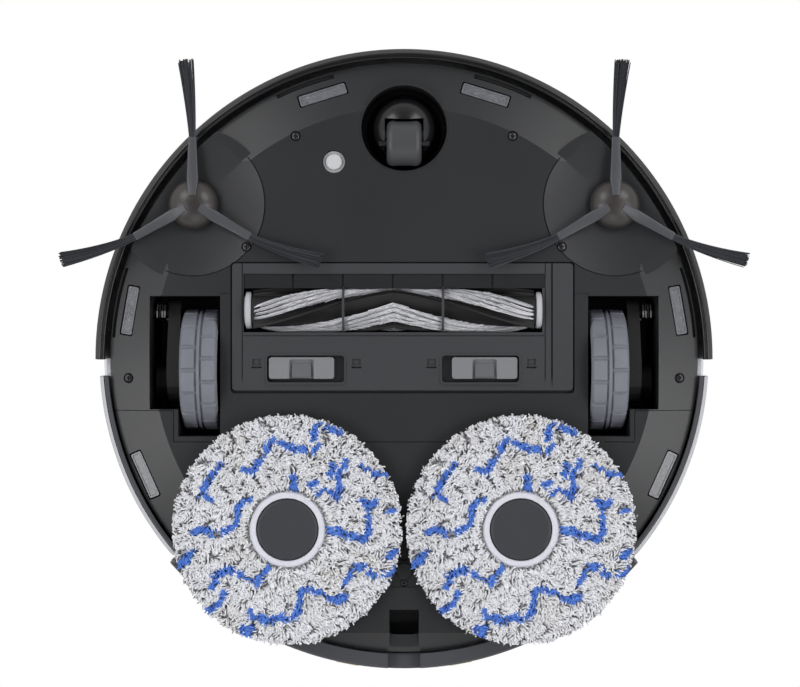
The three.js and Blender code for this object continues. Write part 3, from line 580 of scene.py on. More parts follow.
def front_window(name, margin):
    """A band of the bumper's face, WINDOW_TURN degrees each side of the front."""
    turn = WINDOW_TURN + margin / 3
    low, high = WINDOW_LEVELS
    return arc_slot(name, -turn, turn, WINDOW_BACK - margin, BODY_R + margin, low - margin, high + margin)


bumper = carve(turned("bumper_shell", bumper_profile), *cut(
    behind("behind_bumper", 1.0), front_window("window_cut", 0.35)))
fit(soften(bumper, 0.3), "bumper", "gloss_black", gloss_black.material, "bumper")
window_round = post("window_round", BODY_R - 0.05, 30, 80, 0, 0, 360)
window = carve(front_window("range_window", 0), ("INTERSECT", window_round))
smoke = Finish("dark_window", Coat_Weight=0.5, Coat_Roughness=0.1)
smoke.colour(smoke.blend(paint(16, 10, 14), paint(30, 20, 26), smoke.noise(30.0)))
smoke.gloss(smoke.noise(80.0) * 0.1 + 0.16)
smoke.relief(smoke.noise(200.0), 4e-7)
fit(window, "bumper", "smoked_window", smoke.material, "bumper_window")

# ---- Top shell, cover and button -------------------------------------------------------------
# The pale upper moulding with its two side skirts, the lift-off round cover that clips into it,
# and the long start button in the rim, with a light line along its middle.

TOP_Z, COVER_R = 84.0, 151.5
TURRET_Y, TURRET_R = 62.0, 42.0
silver = moulded("silver_white", paint(222, 224, 228), 0.34, grain=8e-6, mottle=0.1,
                 Coat_Weight=0.25, Coat_Roughness=0.2)
rim_arc = [(180.2 - 3.6 * (1 - math.cos(a)) + 0.8, 80.2 + 3.8 * math.sin(a))
           for a in np.linspace(0, math.pi / 2, 9)]
top = turned("upper_shell", [
    (0, 76.5), (179.4, 76.5), (180.6, 77.2), (BODY_R, 78.6), *rim_arc, (153.4, TOP_Z), (152.4, 83.6),
    (152, 82.8), (152, 78.5), (0, 78.5)])
skirts = carve(
    turned("skirts", [
        (175.3, 34), (177, 34), (179.2, 46), (BODY_R, 62), (BODY_R, 79), (177.6, 79), (177.6, 50)]),
    ("INTERSECT", behind("skirt_part", REAR_Y, SKIRT_END)))
well_cut = upright("bin_well", rounded(-86.5, -53.5, 86.5, 15.5, 3), 75.5, 79.5)
carve(top, *join(skirts), *cut(
    well_cut, upright("button_cut", rounded(-17.5, -169.5, 17.5, -158.5, 5.49, 16), 75, 86),
    post("turret_cut", 34, 70, 90, 0, TURRET_Y, 96),
    arc_slot("finger_notch", 172, 188, 150, 156, 80.5, 86)))
fit(soften(top, 0.3), "chassis", "pale_shell", silver, "top_shell")

cover = turned("lift_off_cover", [
    (0, 81.6), (148.6, 81.6), (148.6, 79), (150.9, 79), (COVER_R, 79.6), (COVER_R, 82.6), (151.1, 83.5),
    (150.2, TOP_Z), (0, TOP_Z)])
carve(cover, *cut(
    post("turret_gap", TURRET_R + 2.4, 70, 90, 0, TURRET_Y, 160),
    band("cover_line", 118, 118.7, 83.6, 85)))
fit(soften(cover, 0.3), "top_cover", "pale_shell", silver, "top_cover")

button_grey = moulded("button_grey", paint(150, 152, 157), 0.3, grain=6e-6, mottle=0.08)
button = upright("start_key", rounded(-17, -169, 17, -159, 4.99, 16), 77.8, 84.8)
light_groove = upright("light_groove", rounded(-9, -164.5, 9, -163.5, 0.49), 84.3, 86)
button = soften(carve(button, *cut(light_groove)), 0.6)
fit(button, "start_button", "grey_plastic", button_grey, "start_button")
light = Finish("button_light", Emission_Strength=0.6)
light.colour(light.blend(paint(200, 214, 226), paint(235, 242, 248), light.noise(200.0)))
light.feed(light.shader.inputs["Emission Color"], paint(214, 230, 246))
light.gloss(light.noise(300.0) * 0.2 + 0.3)
line = upright("key_light_line", rounded(-8.8, -164.35, 8.8, -163.65, 0.34), 83.9, 84.5)
fit(soften(line, 0.1), "start_button", "smoked_window", light.material)

# ---- Laser turret ----------------------------------------------------------------------------
# A fixed foot ring with three pillars and a cap, and inside it the spinning distance sensor with
# its two lenses. The housing is gloss black, the sensor's drum matt.

TURRET_TOP = 103.5
soft_black = moulded("soft_black", paint(34, 34, 37), 0.45, grain=1.6e-5)
cap_arc = [(TURRET_R - 1 - 2.6 * (1 - math.cos(a)), 100.9 + 2.6 * math.sin(a))
           for a in np.linspace(0, math.pi / 2, 8)]
foot = turned("turret_foot", [
    (0, 78.8), (TURRET_R, 78.8), (TURRET_R, 85.2), (41.4, 86.4), (40.2, 87), (31, 87), (31, 80.6), (0, 80.6)],
    0, TURRET_Y, 160)
cap = turned("turret_cap", [
    (0, 98), (TURRET_R - 1.6, 98), (TURRET_R - 1, 98.6), *cap_arc, (33, TURRET_TOP), (32.4, 103.0),
    (31.8, 103.0), (31.2, TURRET_TOP), (0, TURRET_TOP)], 0, TURRET_Y, 160)
pillars = [post(f"pillar_{i}", 3, 86, 99, 35.5 * math.cos(turn), TURRET_Y + 35.5 * math.sin(turn), 40)
           for i, turn in enumerate((0.5, 2.6, 4.7))]
turret = soften(carve(foot, *join(cap, *pillars)), 0.35)
turret.name = "turret_frame"
fit(turret, "chassis", "gloss_black", gloss_black.material, "turret_housing")

drum = turned("sensor_drum", [
    (0, 81), (28, 81), (28, 84.4), (27.2, 84.8), (27.2, 85.6), (28, 86), (28, 95.8), (27.2, 96.6), (0, 96.6)],
    0, TURRET_Y, 128)
EYES_X, EYES_Z = (-9, 9), 90.8
for i, x in enumerate(EYES_X):
    eye = block(f"eye_{i}", (x - 5, TURRET_Y - 30, 86.5), (x + 5, TURRET_Y - 24, 95))
    carve(drum, *cut(eye))
fit(soften(drum, 0.3), "turret", "dark_plastic", soft_black, "turret_rotor")
lens_arc = [(4 * math.sin(a), 0.6 - 1.8 * math.cos(a)) for a in np.linspace(0.2, 1.5, 8)]
eyes = [turned(f"sensor_lens_{i}", [(0, -1.2), *lens_arc, (4, 2.4), (0, 2.4)], 0, 0, 48) for i in range(2)]
for eye, x in zip(eyes, EYES_X):
    reshaped(eye, lambda a, b, c: (a + x, TURRET_Y - 26.0 + c, EYES_Z - b))
carve(eyes[0], *join(eyes[1]))
fit(eyes[0], "turret", "smoked_window", smoke.material)

# ---- Front caster ----------------------------------------------------------------------------
# A gloss black dome that swivels in its well, open at the rear over a small grey wheel with
# rounded shoulders, on a steel pin.

CASTER_WHEEL = (-122.6, 13.0)  # Y and Z of the pin
dome_arc = [(17.6 * math.sin(a), 19.0 - 11.6 * math.cos(a)) for a in np.linspace(0, math.pi / 2, 24)]
fork = turned("caster_dome", [
    *dome_arc, (17.6, 27.6), (18.4, 28.6), (20.6, 30.4), (21.4, 31.6), (21.6, 33), (21.6, 36),
    (4, 36), (4, 50), (0, 50)], *CASTER, steps=192)
carve(fork, *cut(
    band("wheel_arch", 0, 14.4, -11.1, 11.1, *CASTER_WHEEL, 96, along_x=True),
    block("wheel_mouth", (-11.1, CASTER_WHEEL[0], 0), (11.1, -100, 27.4)),
    band("pin_hole", 0, 1.8, -30, 30, *CASTER_WHEEL, 32, along_x=True),
    *[block(f"cheek_slot_{s}", (s * 12.4, -121.4, 5), (s * 15, -119.6, 14)) for s in (-1, 1)],
    *[block(f"cheek_end_{s}", (s * 10, -117.4, 5), (s * 19, -100, 26)) for s in (-1, 1)]))
fit(soften(fork, 0.35), "caster", "gloss_black", gloss_black.material, "caster_fork")

wheel_grey = moulded("wheel_grey", paint(58, 59, 62), 0.45, grain=2.5e-5, grain_scale=900.0)
shoulder = np.linspace(0, np.pi / 2, 9)
right_half = [(9.4 + 3.6 * math.sin(a), 6.3 + 3.6 * math.cos(a)) for a in shoulder]
caster_roll = turned("caster_roller", [
    (1.9, -9.9), *[(r, -x) for r, x in right_half], (12.7, -3.4), (12.7, 3.4), *right_half[::-1], (1.9, 9.9)],
    *CASTER_WHEEL, 128, along_x=True)
fit(caster_roll, "caster_wheel", "grey_plastic", wheel_grey, "caster_wheel")
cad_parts["caster_axle"].material_slots[0].material = dull_steel.material

# ---- Drive wheels ----------------------------------------------------------------------------
# Each has a grey rubber tyre with two staggered rows of blocks beside a raised middle rib, on a
# dark hub driven by the gearbox that swings it. A torsion spring on the pin pushes the wheel down.

WHEEL_X, WHEEL_Y, WHEEL_R, TYRE_WIDTH, RIM_R = 117.0, 6.9, 35.0, 21.5, 27.0
BLOCKS = 16


def step_up(value, at, width):
    """A smooth rise from 0 to 1 across width, centred where value is at."""
    t = np.clip((value - at) / width + 0.5, 0, 1)
    return t * t * (3 - 2 * t)


def between(value, low, high, width):
    return step_up(value, low, width) * (1 - step_up(value, high, width))


def tyre(name, side):
    """Radius over turn and width: a crowned tread, plus blocks where both the turn's place in its
    pitch and the place across are inside a block, plus the middle rib; the bore closes it inside."""
    turn = np.linspace(0, 2 * np.pi, 640, endpoint=False)[:, None]
    across = np.linspace(-1, 1, 61)[None, :] * TYRE_WIDTH / 2
    outward = across * side
    shoulder_drop = 2.0 * np.clip((np.abs(across) - 8.2) / 2.55, 0, 1) ** 2
    pitch = turn * BLOCKS / (2 * np.pi)
    outer_row = between(pitch % 1, 0.07, 0.93, 0.07) * between(outward, 1.9, 10.1, 0.5)
    inner_row = between((pitch + 0.5) % 1, 0.07, 0.93, 0.07) * between(outward, -10.2, -1.9, 0.5)
    rim_line = between((pitch % 1), 0.16, 0.84, 0.06) * between(outward, 3.2, 8.6, 0.5)
    inner_line = between(((pitch + 0.5) % 1), 0.16, 0.84, 0.06) * between(outward, -8.8, -3.2, 0.5)
    rib = between(outward, -0.9, 0.9, 0.5)
    height = np.maximum(np.maximum(outer_row, inner_row), rib) - 0.12 * (rim_line + inner_line)
    radius = WHEEL_R - 1.35 + 1.33 * height - shoulder_drop
    edge = np.ones_like(turn)
    bore = np.concatenate([edge * (RIM_R + 0.02), radius, edge * (RIM_R + 0.02)], 1)
    places = np.concatenate([[-TYRE_WIDTH / 2 + 1], across[0], [TYRE_WIDTH / 2 - 1]])
    along = np.broadcast_to(places + side * WHEEL_X, bore.shape)
    points = np.stack([along, WHEEL_Y + bore * np.cos(turn), WHEEL_R + bore * np.sin(turn)], -1)
    points = np.concatenate([points, points[:1]])
    return mesh_piece(name, points, grid_faces(641, points.shape[1]), crease=50)


rubber = Finish("tread_rubber", Specular_IOR_Level=0.35)
dust = rubber.noise(45.0, 5.0, 0.6)
grit = rubber.noise(1300.0, 2.0, 0.6)
rubber.colour(rubber.blend(paint(92, 94, 103), paint(132, 134, 143), dust * 0.8 + grit * 0.2))
rubber.gloss(dust * 0.2 + 0.56)
rubber.relief(grit + dust * 0.4, 3e-5)
hub_dark = moulded("hub_dark", paint(54, 52, 52), 0.42, grain=2e-5)
gear_dark = moulded("gearbox_dark", paint(27, 27, 28), 0.5, grain=2.5e-5, grain_scale=1100.0,
                    Specular_IOR_Level=0.3)


def wheel_hub(name, side):
    """A turned rim and web with six lightening holes and a boss."""
    low, high = side * WHEEL_X - TYRE_WIDTH / 2, side * WHEEL_X + TYRE_WIDTH / 2
    rim = RIM_R - 0.3
    hub = turned(name, [
        (3.4, low + 2), (9.4, low + 2), (10, low + 2.6), (11.2, low + 7), (21, low + 7), (24.2, low + 2.4),
        (24.8, low + 1.6), (rim, low + 1.6), (rim, high - 1.6), (24.8, high - 1.6), (24.2, high - 2.4),
        (21, high - 7), (11.2, high - 7), (10, high - 2.6), (9.4, high - 2), (3.4, high - 2)],
        WHEEL_Y, WHEEL_R, 128, along_x=True)
    holes = []
    for k in range(6):
        turn = k * math.pi / 3
        y, z = WHEEL_Y + 16 * math.cos(turn), WHEEL_R + 16 * math.sin(turn)
        holes.append(band(f"hole_{k}", 0, 3.4, low, high, y, z, 32, along_x=True))
    return soften(carve(hub, *cut(*holes)), 0.3)


for side, word in SIDES:
    fit(tyre(f"{word}_tread", side), f"{word}_wheel", "tread_rubber", rubber.material, f"{word}_tyre")
    fit(wheel_hub(f"{word}_rim", side), f"{word}_wheel", "dark_plastic", hub_dark, f"{word}_wheel_hub")
    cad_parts[f"{word}_drive_gearbox"].material_slots[0].material = gear_dark
    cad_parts[f"{word}_suspension_spring"].material_slots[0].material = steel.material

# ---- Side brushes ----------------------------------------------------------------------------
# A dark brown domed hub snapped on its shaft, with three flat grey arms that dip to the floor. Each
# arm ends in a crimped bunch of nylon bristles that flares towards its tips.

ARM_R, BRISTLE_R = 38.3, 82.5
ARMS = {"front": -90.0, "right": 30.0, "left": 150.0}
BRISTLES = 92


def tube_points(paths, radii, sides):
    """A ring of sides points around every point of each path, square to the way the path runs there:
    centre + radius (across cos a + up sin a), for paths of shape (tubes, points, 3)."""
    run = np.gradient(paths, axis=1)
    run /= np.linalg.norm(run, axis=-1, keepdims=True) + 1e-12
    across = np.cross(run, [0.03, 0.05, 1.0])
    across /= np.linalg.norm(across, axis=-1, keepdims=True) + 1e-12
    up = np.cross(run, across)
    angle = 2 * np.pi * np.arange(sides) / sides
    ring = across[:, :, None] * np.cos(angle)[:, None] + up[:, :, None] * np.sin(angle)[:, None]
    return paths[:, :, None] + np.broadcast_to(radii, paths.shape[:2])[:, :, None, None] * ring


def tubes(name, paths, radii, sides=3):
    """Many thin closed tubes in one mesh, such as bristles: quads along each, a cap at both ends."""
    count, steps = paths.shape[:2]
    points = tube_points(paths, radii, sides)
    start = np.arange(count)[:, None, None] * steps * sides
    walls = (start + grid_faces(steps, sides)[None]).reshape(-1, 4)
    first = (start[:, 0] + np.arange(sides)[None, ::-1])
    last = (start[:, 0] + (steps - 1) * sides + np.arange(sides)[None])
    return mesh_piece(name, points, walls, first, last, crease=80, weld=False)


def mark(piece, name, values):
    """Stores one number for each point of the piece, which its material reads."""
    data = piece.data.attributes.new(name, "FLOAT", "POINT")
    data.data.foreach_set("value", np.asarray(values, np.float32).ravel())


def side_brush_bar(name, side, degrees, stations):
    """A flat bar out from the hub: at each station (radius, width, low, high) a ring of a squared
    ellipse, across = half width |cos|^0.4, height = half thickness |sin|^0.4."""
    angle = math.radians(degrees)
    ring = np.linspace(0, 2 * np.pi, 20, endpoint=False)
    squared = [np.sign(f(ring)) * np.abs(f(ring)) ** 0.4 for f in (np.cos, np.sin)]
    radius, width, low, high = np.array(stations, float).T[:, :, None]
    across = squared[0] * width / 2
    z = (low + high) / 2 + squared[1] * (high - low) / 2
    x = side * SIDE_BRUSH[0] + radius * math.cos(angle) - across * math.sin(angle)
    y = SIDE_BRUSH[1] + radius * math.sin(angle) + across * math.cos(angle)
    count = len(stations)
    points = np.stack([x, y, z], -1)
    ends = np.stack([np.arange(20), np.arange(20) + 20 * (count - 1)])
    return mesh_piece(name, points, grid_faces(count, 20), ends)


def side_brush_hub(name, side):
    dome = [(14.2 * math.sin(a), 14.6 - 9.2 * math.cos(a)) for a in np.linspace(0, math.pi / 2, 24)]
    profile = [*dome, (14.2, 15.6), (2.4, 15.6), (2.4, 27), (0, 27)]
    return soften(turned(name, profile, side * SIDE_BRUSH[0], SIDE_BRUSH[1], 128), 0.2)


def side_brush_arms(name, side):
    stations = [(4.5, 4.6, 5.3, 8.0), (9, 5.4, 6.2, 9.6), (14, 6.6, 7.6, 10.4), (24, 5.6, 7.4, 10.1),
                (34, 4.9, 7.15, 9.6), (36.6, 4.9, 7.05, 9.4), (ARM_R - 0.3, 4.4, 7.1, 9.2)]
    arms = [side_brush_bar(f"{name}_{d}", side, d, stations) for d in ARMS.values()]
    return soften(carve(arms[0], *join(*arms[1:])), 0.2)


def brush_tuft(name, side, direction, seed):
    """Bristles from the arm's mouth: each leaves at its own place in the crimp, fans out in
    proportion to the way along, sinks to the floor and bends to the front by sweep way^1.5."""
    chance = np.random.default_rng(seed)
    along = np.linspace(0, 1, 9)[None, :]
    root = chance.uniform(-1, 1, (BRISTLES, 1))
    depth = chance.uniform(0, 1, (BRISTLES, 1))
    reach = BRISTLE_R - ARM_R - chance.uniform(0, 2.4, (BRISTLES, 1))
    swept = 8.0 if direction == ("right" if side < 0 else "left") else 8.5
    sweep = {"front": 3.0 * side, "right": -swept, "left": swept}[direction]
    spread = 1.6 * root + 2.6 * root * along + chance.normal(0, 0.2, (BRISTLES, 1)) * along
    across = spread + sweep * along ** 1.5
    radius = ARM_R - 0.8 + reach * along - 0.012 * across ** 2
    high = 7.5 + 1.2 * depth
    z = high + (0.95 + 0.85 * depth - high) * along ** 0.95
    angle = math.radians(ARMS[direction])
    x = side * SIDE_BRUSH[0] + radius * math.cos(angle) - across * math.sin(angle)
    y = SIDE_BRUSH[1] + radius * math.sin(angle) + across * math.cos(angle)
    tuft = tubes(name, np.stack([x, y, z], -1), np.linspace(0.32, 0.22, 9), 4)
    mark(tuft, "shade", np.repeat(chance.uniform(0, 1, BRISTLES), 36))
    return tuft


hub_brown = Finish("hub_brown", Coat_Weight=0.2, Coat_Roughness=0.2)
bloom = hub_brown.noise(60.0, 4.0)
hub_brown.colour(hub_brown.blend(paint(38, 35, 34), paint(58, 54, 52), bloom))
hub_brown.gloss(bloom * 0.2 + 0.3)
hub_brown.relief(hub_brown.noise(900.0), 1.5e-5)
arm_grey = moulded("arm_grey", paint(66, 67, 71), 0.4, grain=1.5e-5)
nylon = Finish("black_nylon", Specular_IOR_Level=0.55)
strand = nylon.attribute("shade")
nylon.colour(nylon.blend(paint(24, 26, 29), paint(60, 63, 69), strand * 0.7 + nylon.noise(90.0) * 0.3))
nylon.gloss(strand * 0.2 + 0.34)
nylon.relief(nylon.noise(2500.0), 1e-5)
for number, (side, word) in enumerate(SIDES):
    fit(side_brush_hub(f"{word}_brush_dome", side), f"{word}_side_brush", "dark_plastic", hub_brown.material,
        f"{word}_side_brush_hub")
    fit(side_brush_arms(f"{word}_brush_arms", side), f"{word}_side_brush", "grey_plastic", arm_grey)
    for place, direction in enumerate(ARMS):
        tuft = brush_tuft(f"{word}_bristles_{direction}", side, direction, 20 + 3 * number + place)
        fit(tuft, f"{word}_side_brush", "brush_nylon", nylon.material, f"{word}_brush_tuft_{direction}")

# ---- Roller brush ----------------------------------------------------------------------------
# A black rubber sleeve with chevron fins, and between them rows of soft white bristles set in a
# chevron too, so that dirt is swept to the middle. Light caps carry both ends.

ROLLER_Y, ROLLER_Z, ROLLER_R, SLEEVE_R = -27.3, 16.0, 12.6, 9.4
ROLLER_ENDS, APEX = (-87.0, 75.1), -6.0
TWIST = math.radians(128)
ROW_TURNS = np.radians([-104.0, 16.0, 136.0])
STRIP_TURN = 0.23


def row_turn(phase, x):
    """The turn of a chevron row at X: it grows in step with the distance from the apex."""
    return phase + TWIST * np.abs(x - APEX) / (ROLLER_ENDS[1] - APEX)


def fin(name, phase):
    """A rubber fin: stations along X, each a ring of a thin leaf that leans back towards its tip."""
    x = np.linspace(ROLLER_ENDS[0] + 1, ROLLER_ENDS[1] - 1, 160)[:, None]
    up = np.array([0, 0.5, 0.9, 1, 1, 0.9, 0.5, 0])[None, :]
    half = np.array([0.9, 0.6, 0.5, 0.25, -0.25, -0.5, -0.6, -0.9])[None, :]
    radius = SLEEVE_R - 0.8 + (ROLLER_R - 0.1 - SLEEVE_R + 0.8) * up
    turn = row_turn(phase, x) + 0.1 * up ** 2
    y = ROLLER_Y + radius * np.cos(turn) - half * np.sin(turn)
    z = ROLLER_Z + radius * np.sin(turn) + half * np.cos(turn)
    points = np.stack([np.broadcast_to(x, y.shape), y, z], -1)
    ends = np.stack([np.arange(8), np.arange(8) + 8 * 159])
    return mesh_piece(name, points, grid_faces(160, 8), ends)


sleeve = band("roller_sleeve", 0, SLEEVE_R, *ROLLER_ENDS, ROLLER_Y, ROLLER_Z, 96, along_x=True)
carve(sleeve, *join(*[fin(f"fin_{k}", turn + math.pi / 3) for k, turn in enumerate(ROW_TURNS)]))
blade_rubber = Finish("blade_rubber", Specular_IOR_Level=0.4)
powder = blade_rubber.noise(60.0, 4.0)
blade_rubber.colour(blade_rubber.blend(paint(9, 9, 10), paint(24, 24, 26), powder))
blade_rubber.gloss(powder * 0.25 + 0.45)
blade_rubber.relief(blade_rubber.noise(700.0, 3.0), 4e-5)
fit(sleeve, "roller", "blade_rubber", blade_rubber.material, "main_brush_blades")


def bristle_rows(name, per_row):
    """Soft bristles: roots in four strips along each chevron row, tips laid along it towards the apex.
    Along a bristle the radius rises like the root of the way, so it lies down on the sleeve."""
    chance = np.random.default_rng(7)
    along = np.linspace(0, 1, 5)[None, :]
    rows = []
    for phase in ROW_TURNS:
        x = chance.uniform(ROLLER_ENDS[0] + 1, ROLLER_ENDS[1] - 1, (per_row, 1))
        strip = np.round(chance.uniform(-0.5, 3.5, (per_row, 1))) * STRIP_TURN
        strip = strip + chance.normal(0, 0.035, (per_row, 1))
        lean = chance.uniform(12, 20, (per_row, 1)) * np.sign(APEX - x) * np.clip(np.abs(x - APEX) / 9, 0, 1)
        place = x + lean * along
        turn = row_turn(phase, place) + strip
        radius = SLEEVE_R - 0.3 + (ROLLER_R - SLEEVE_R + 0.05) * along ** 0.55
        y = ROLLER_Y + radius * np.cos(turn)
        z = ROLLER_Z + radius * np.sin(turn)
        rows.append(np.stack([np.broadcast_to(place, y.shape), y, z], -1))
    paths = np.concatenate(rows)
    brush = tubes(name, paths, np.linspace(0.3, 0.15, 5), 3)
    mark(brush, "shade", np.repeat(chance.uniform(0, 1, len(paths)), 15))
    return brush


white_bristle = Finish("white_bristle", Specular_IOR_Level=0.4)
strand = white_bristle.attribute("shade")
white_bristle.colour(white_bristle.blend(paint(150, 151, 156), paint(226, 226, 230), strand))
white_bristle.gloss(strand * 0.2 + 0.4)
white_bristle.relief(white_bristle.noise(1800.0), 1e-5)
bristles = bristle_rows("roller_bristles", 2400)
fit(bristles, "roller", "white_bristle", white_bristle.material, "main_brush_core")

cap_grey = moulded("cap_grey", paint(176, 177, 181), 0.36, grain=1.2e-5)
bearing = turned("roller_bearing_end", [
    (0, -91), (8.6, -91), (9.4, -90.6), (10.6, -90.2), (10.6, -87.9), (10, -87.3), (0, -87.3)],
    ROLLER_Y, ROLLER_Z, 96, along_x=True)
fit(bearing, "chassis", "grey_plastic", cap_grey, "brush_bearing_cap")
drive = turned("roller_drive_end", [
    (0, 75.4), (10, 75.4), (10.6, 76), (10.6, 78), (10, 78.6), (2.2, 78.6), (2.2, 90), (0, 90)],
    ROLLER_Y, ROLLER_Z, 96, along_x=True)
fit(drive, "roller", "grey_plastic", cap_grey, "brush_drive_cap")

# ---- Brush cover and latches -----------------------------------------------------------------
# The snap-in frame under the roller: a lip and comb plate ahead of the window, two bowed guard
# ribs across it, and a wide rear bar with the slots of two light grey sliding latches.

COVER_Z, COVER_BACK = 10.5, 13.2
WINDOW_LOW, WINDOW_HIGH = (-91.7, -40.0), (78.9, -14.6)
LATCH = {"left": -58.6, "right": 46.0}
LATCH_Y, LATCH_HALF = 5.8, (18.65, 6.2)
RIBS = (-34.6, 22.0)


def latch_slot(name, word, margin, low, high):
    side = -1 if word == "left" else 1
    parked = LATCH[word] + side * (LATCH_HALF[0] + 1)
    opened = LATCH[word] - side * (LATCH_HALF[0] + 5.8)
    x0, x1 = sorted((parked, opened))
    outline = rounded(x0 - margin, LATCH_Y - 7.2 - margin, x1 + margin, LATCH_Y + 8.2 + margin, 2 + margin)
    return upright(name, outline, low, high)


def guard_rib(name, x):
    """A thin rib that bows down round the roller: a piece of ring, kept between the window's edges."""
    ring = band(name, ROLLER_R + 0.3, ROLLER_R + 1.5, x - 0.7, x + 0.7, ROLLER_Y, ROLLER_Z, 160, along_x=True)
    part = block("rib_part", (x - 1, WINDOW_LOW[1] - 1.4, 0), (x + 1, WINDOW_HIGH[1] + 1.4, 12.8))
    return carve(ring, ("INTERSECT", part))


def wedge(name, x0, x1, profile):
    """A profile of (y, z) corners drawn out along X, with one face at each end."""
    count = len(profile)
    rings = [np.c_[np.full(count, x), profile] for x in (x0, x1)]
    ends = np.arange(2 * count).reshape(2, count)
    return mesh_piece(name, np.concatenate(rings), ends, grid_faces(2, count))


def brush_cover():
    plate = upright("brush_cover_frame", rounded(*COVER_LOW, *COVER_HIGH, 2.0), COVER_Z, COVER_BACK)
    borders = [latch_slot(f"slot_border_{w}", w, 1.1, COVER_Z - 0.35, COVER_Z + 1) for w in LATCH]
    lip = block("comb_step", (WINDOW_LOW[0], -48.0, 9), (WINDOW_HIGH[0] + 1.4, -39.9, COVER_Z + 2))
    lines = [
        block("left_line", (-92.7, -54, 9), (-92.0, 19, COVER_Z + 0.7)),
        block("right_line_0", (80.2, -54, 9), (80.8, 19, COVER_Z + 0.7)),
        block("right_line_1", (83.8, -54, 9), (84.9, 19, COVER_Z + 1.2)),
        block("window_line", (-92.2, -13.1, 9), (80.4, -12.3, COVER_Z + 0.8))]
    marks = []
    for k, x in enumerate((-84.2, -27.2, 15.6, 72.7)):
        marks.append(block(f"mark_{k}", (x - 2.4, 0.6, 9), (x + 2.4, 4.2, COVER_Z + 1.1)))
        marks.append(block(f"mark_line_{k}", (x - 2.9, 4.9, 9), (x + 2.9, 5.9, COVER_Z + 1.9)))
    slope = wedge("rear_slope", -99, 97, [(10.4, 10.4), (19.2, 10.4), (19.2, 12.2)])
    window_cut = block("window_cut", (*WINDOW_LOW, 0), (*WINDOW_HIGH, 20))
    slots = [latch_slot(f"slot_{w}", w, 0, 5, 20) for w in LATCH]
    ribs = [guard_rib(f"rib_{x:.0f}", x) for x in RIBS]
    carve(plate, *join(*borders), *cut(window_cut, lip, *lines, *marks, slope, *slots), *join(*ribs))
    return soften(plate, 0.22)


cover_grey = moulded("cover_grey", paint(53, 54, 57), 0.46, grain=2.6e-5, grain_scale=1700.0,
                     Specular_IOR_Level=0.38)
fit(brush_cover(), "brush_cover", "shell_plastic", cover_grey, "brush_cover")
comb = block("comb_plate", (WINDOW_LOW[0] - 0.3, -48.3, COVER_Z + 0.9),
             (WINDOW_HIGH[0] + 1.7, -39.7, COVER_BACK - 0.3))
teeth = [block(f"comb_slit_{k}", (x - 0.6, -47.9, 9), (x + 0.6, -39.0, COVER_Z + 1.9))
         for k, x in enumerate(np.linspace(-63.4, 50.4, 5))]
# Painted shade: the comb plate takes a darker copy of the cover's grey, standing for the shade that falls on
# it.
comb_painted_shade = moulded("comb_painted_shade", paint(26, 27, 29), 0.46, Specular_IOR_Level=0.3)
fit(soften(carve(comb, *cut(*teeth)), 0.2), "brush_cover", "shell_plastic", comb_painted_shade)
latch_grey = moulded("latch_grey", paint(118, 119, 122), 0.42, grain=1.2e-5)
# Painted shade: the thumb ramps take a darker copy of the latch grey, for the shade inside the notch.
thumb_painted_shade = moulded("thumb_painted_shade", paint(90, 91, 95), 0.46, grain=1.2e-5)
for word, x in LATCH.items():
    a, b = LATCH_HALF
    tab = upright(f"{word}_latch_tab", rounded(x - a, LATCH_Y - b, x + a, LATCH_Y + b, 1.6), 10.9, 13.6)
    notch = upright("thumb_notch", rounded(x - 7, LATCH_Y - 4.9, x + 7, LATCH_Y + 9, 1.4), 9, 13.2)
    tab = soften(carve(tab, *cut(notch)), 0.3)
    fit(tab, f"{word}_latch", "grey_plastic", latch_grey, f"{word}_cover_latch")
    ramp = wedge(f"{word}_thumb_ramp", x - 5.5, x + 5.5, [
        (LATCH_Y - 2.9, 12.4), (11.0, 11.2), (11.0, 13.4), (LATCH_Y - 2.9, 13.4)])
    fit(soften(ramp, 0.2), f"{word}_latch", "grey_plastic", thumb_painted_shade)

# ---- Mop pads --------------------------------------------------------------------------------
# Round microfibre pads, hooked to a turning plate. Thousands of short looped strands lie every
# way on a felted base, white-grey with rows of stiffer blue yarn, around a smooth felt ring.

PAD_R, FELT_R, FELT_HOLE = 64.4, 21.2, 17.8
STRANDS = 15000
BLUE_ROWS = [
    [(-25, -34), (-20, -33), (-13, -42), (-8, -51)], [(-3, -49), (3, -46), (10, -45)],
    [(14, -43), (18, -47)], [(15, -52), (16, -58), (19, -61)], [(22, -58), (29, -56)],
    [(-38, -37), (-46, -26), (-48, -20), (-43, -17)], [(-29, -3), (-28, -12), (-25, -16), (-21, -17)],
    [(-53, 2), (-48, -1), (-43, 3), (-37, 1), (-31, -1)], [(0, -22), (4, -24), (3, -30)],
    [(13, -25), (16, -27)], [(17, -20), (21, -23), (28, -19), (30, -23)], [(29, -24), (30, -33), (33, -38)],
    [(25, -31), (26, -37)], [(42, -36), (45, -34)], [(49, -31), (57, -32)],
    [(43, -16), (47, -11), (50, -16)], [(57, -11), (62, -12)], [(22, -3), (26, 1), (29, -1)],
    [(31, 2), (38, 4), (43, 6), (46, 1), (46, -8)], [(57, 16), (62, 12)],
    [(32, 31), (36, 26), (38, 21), (43, 21)], [(47, 24), (49, 26)], [(56, 26), (62, 23)],
    [(4, 49), (7, 43), (8, 35), (14, 34), (25, 39), (31, 40), (33, 36)], [(-17, 30), (-15, 26), (-10, 21)],
    [(-22, 28), (-27, 25)], [(-42, 32), (-40, 26), (-36, 23), (-31, 23)],
    [(-36, 36), (-38, 41), (-43, 45), (-48, 48)], [(-25, 56), (-22, 60), (-20, 54)], [(-21, 46), (-20, 49)],
    [(-16, 49), (-11, 52), (-3, 49), (-1, 51)], [(-54, 13), (-56, 17), (-63, 21)]]


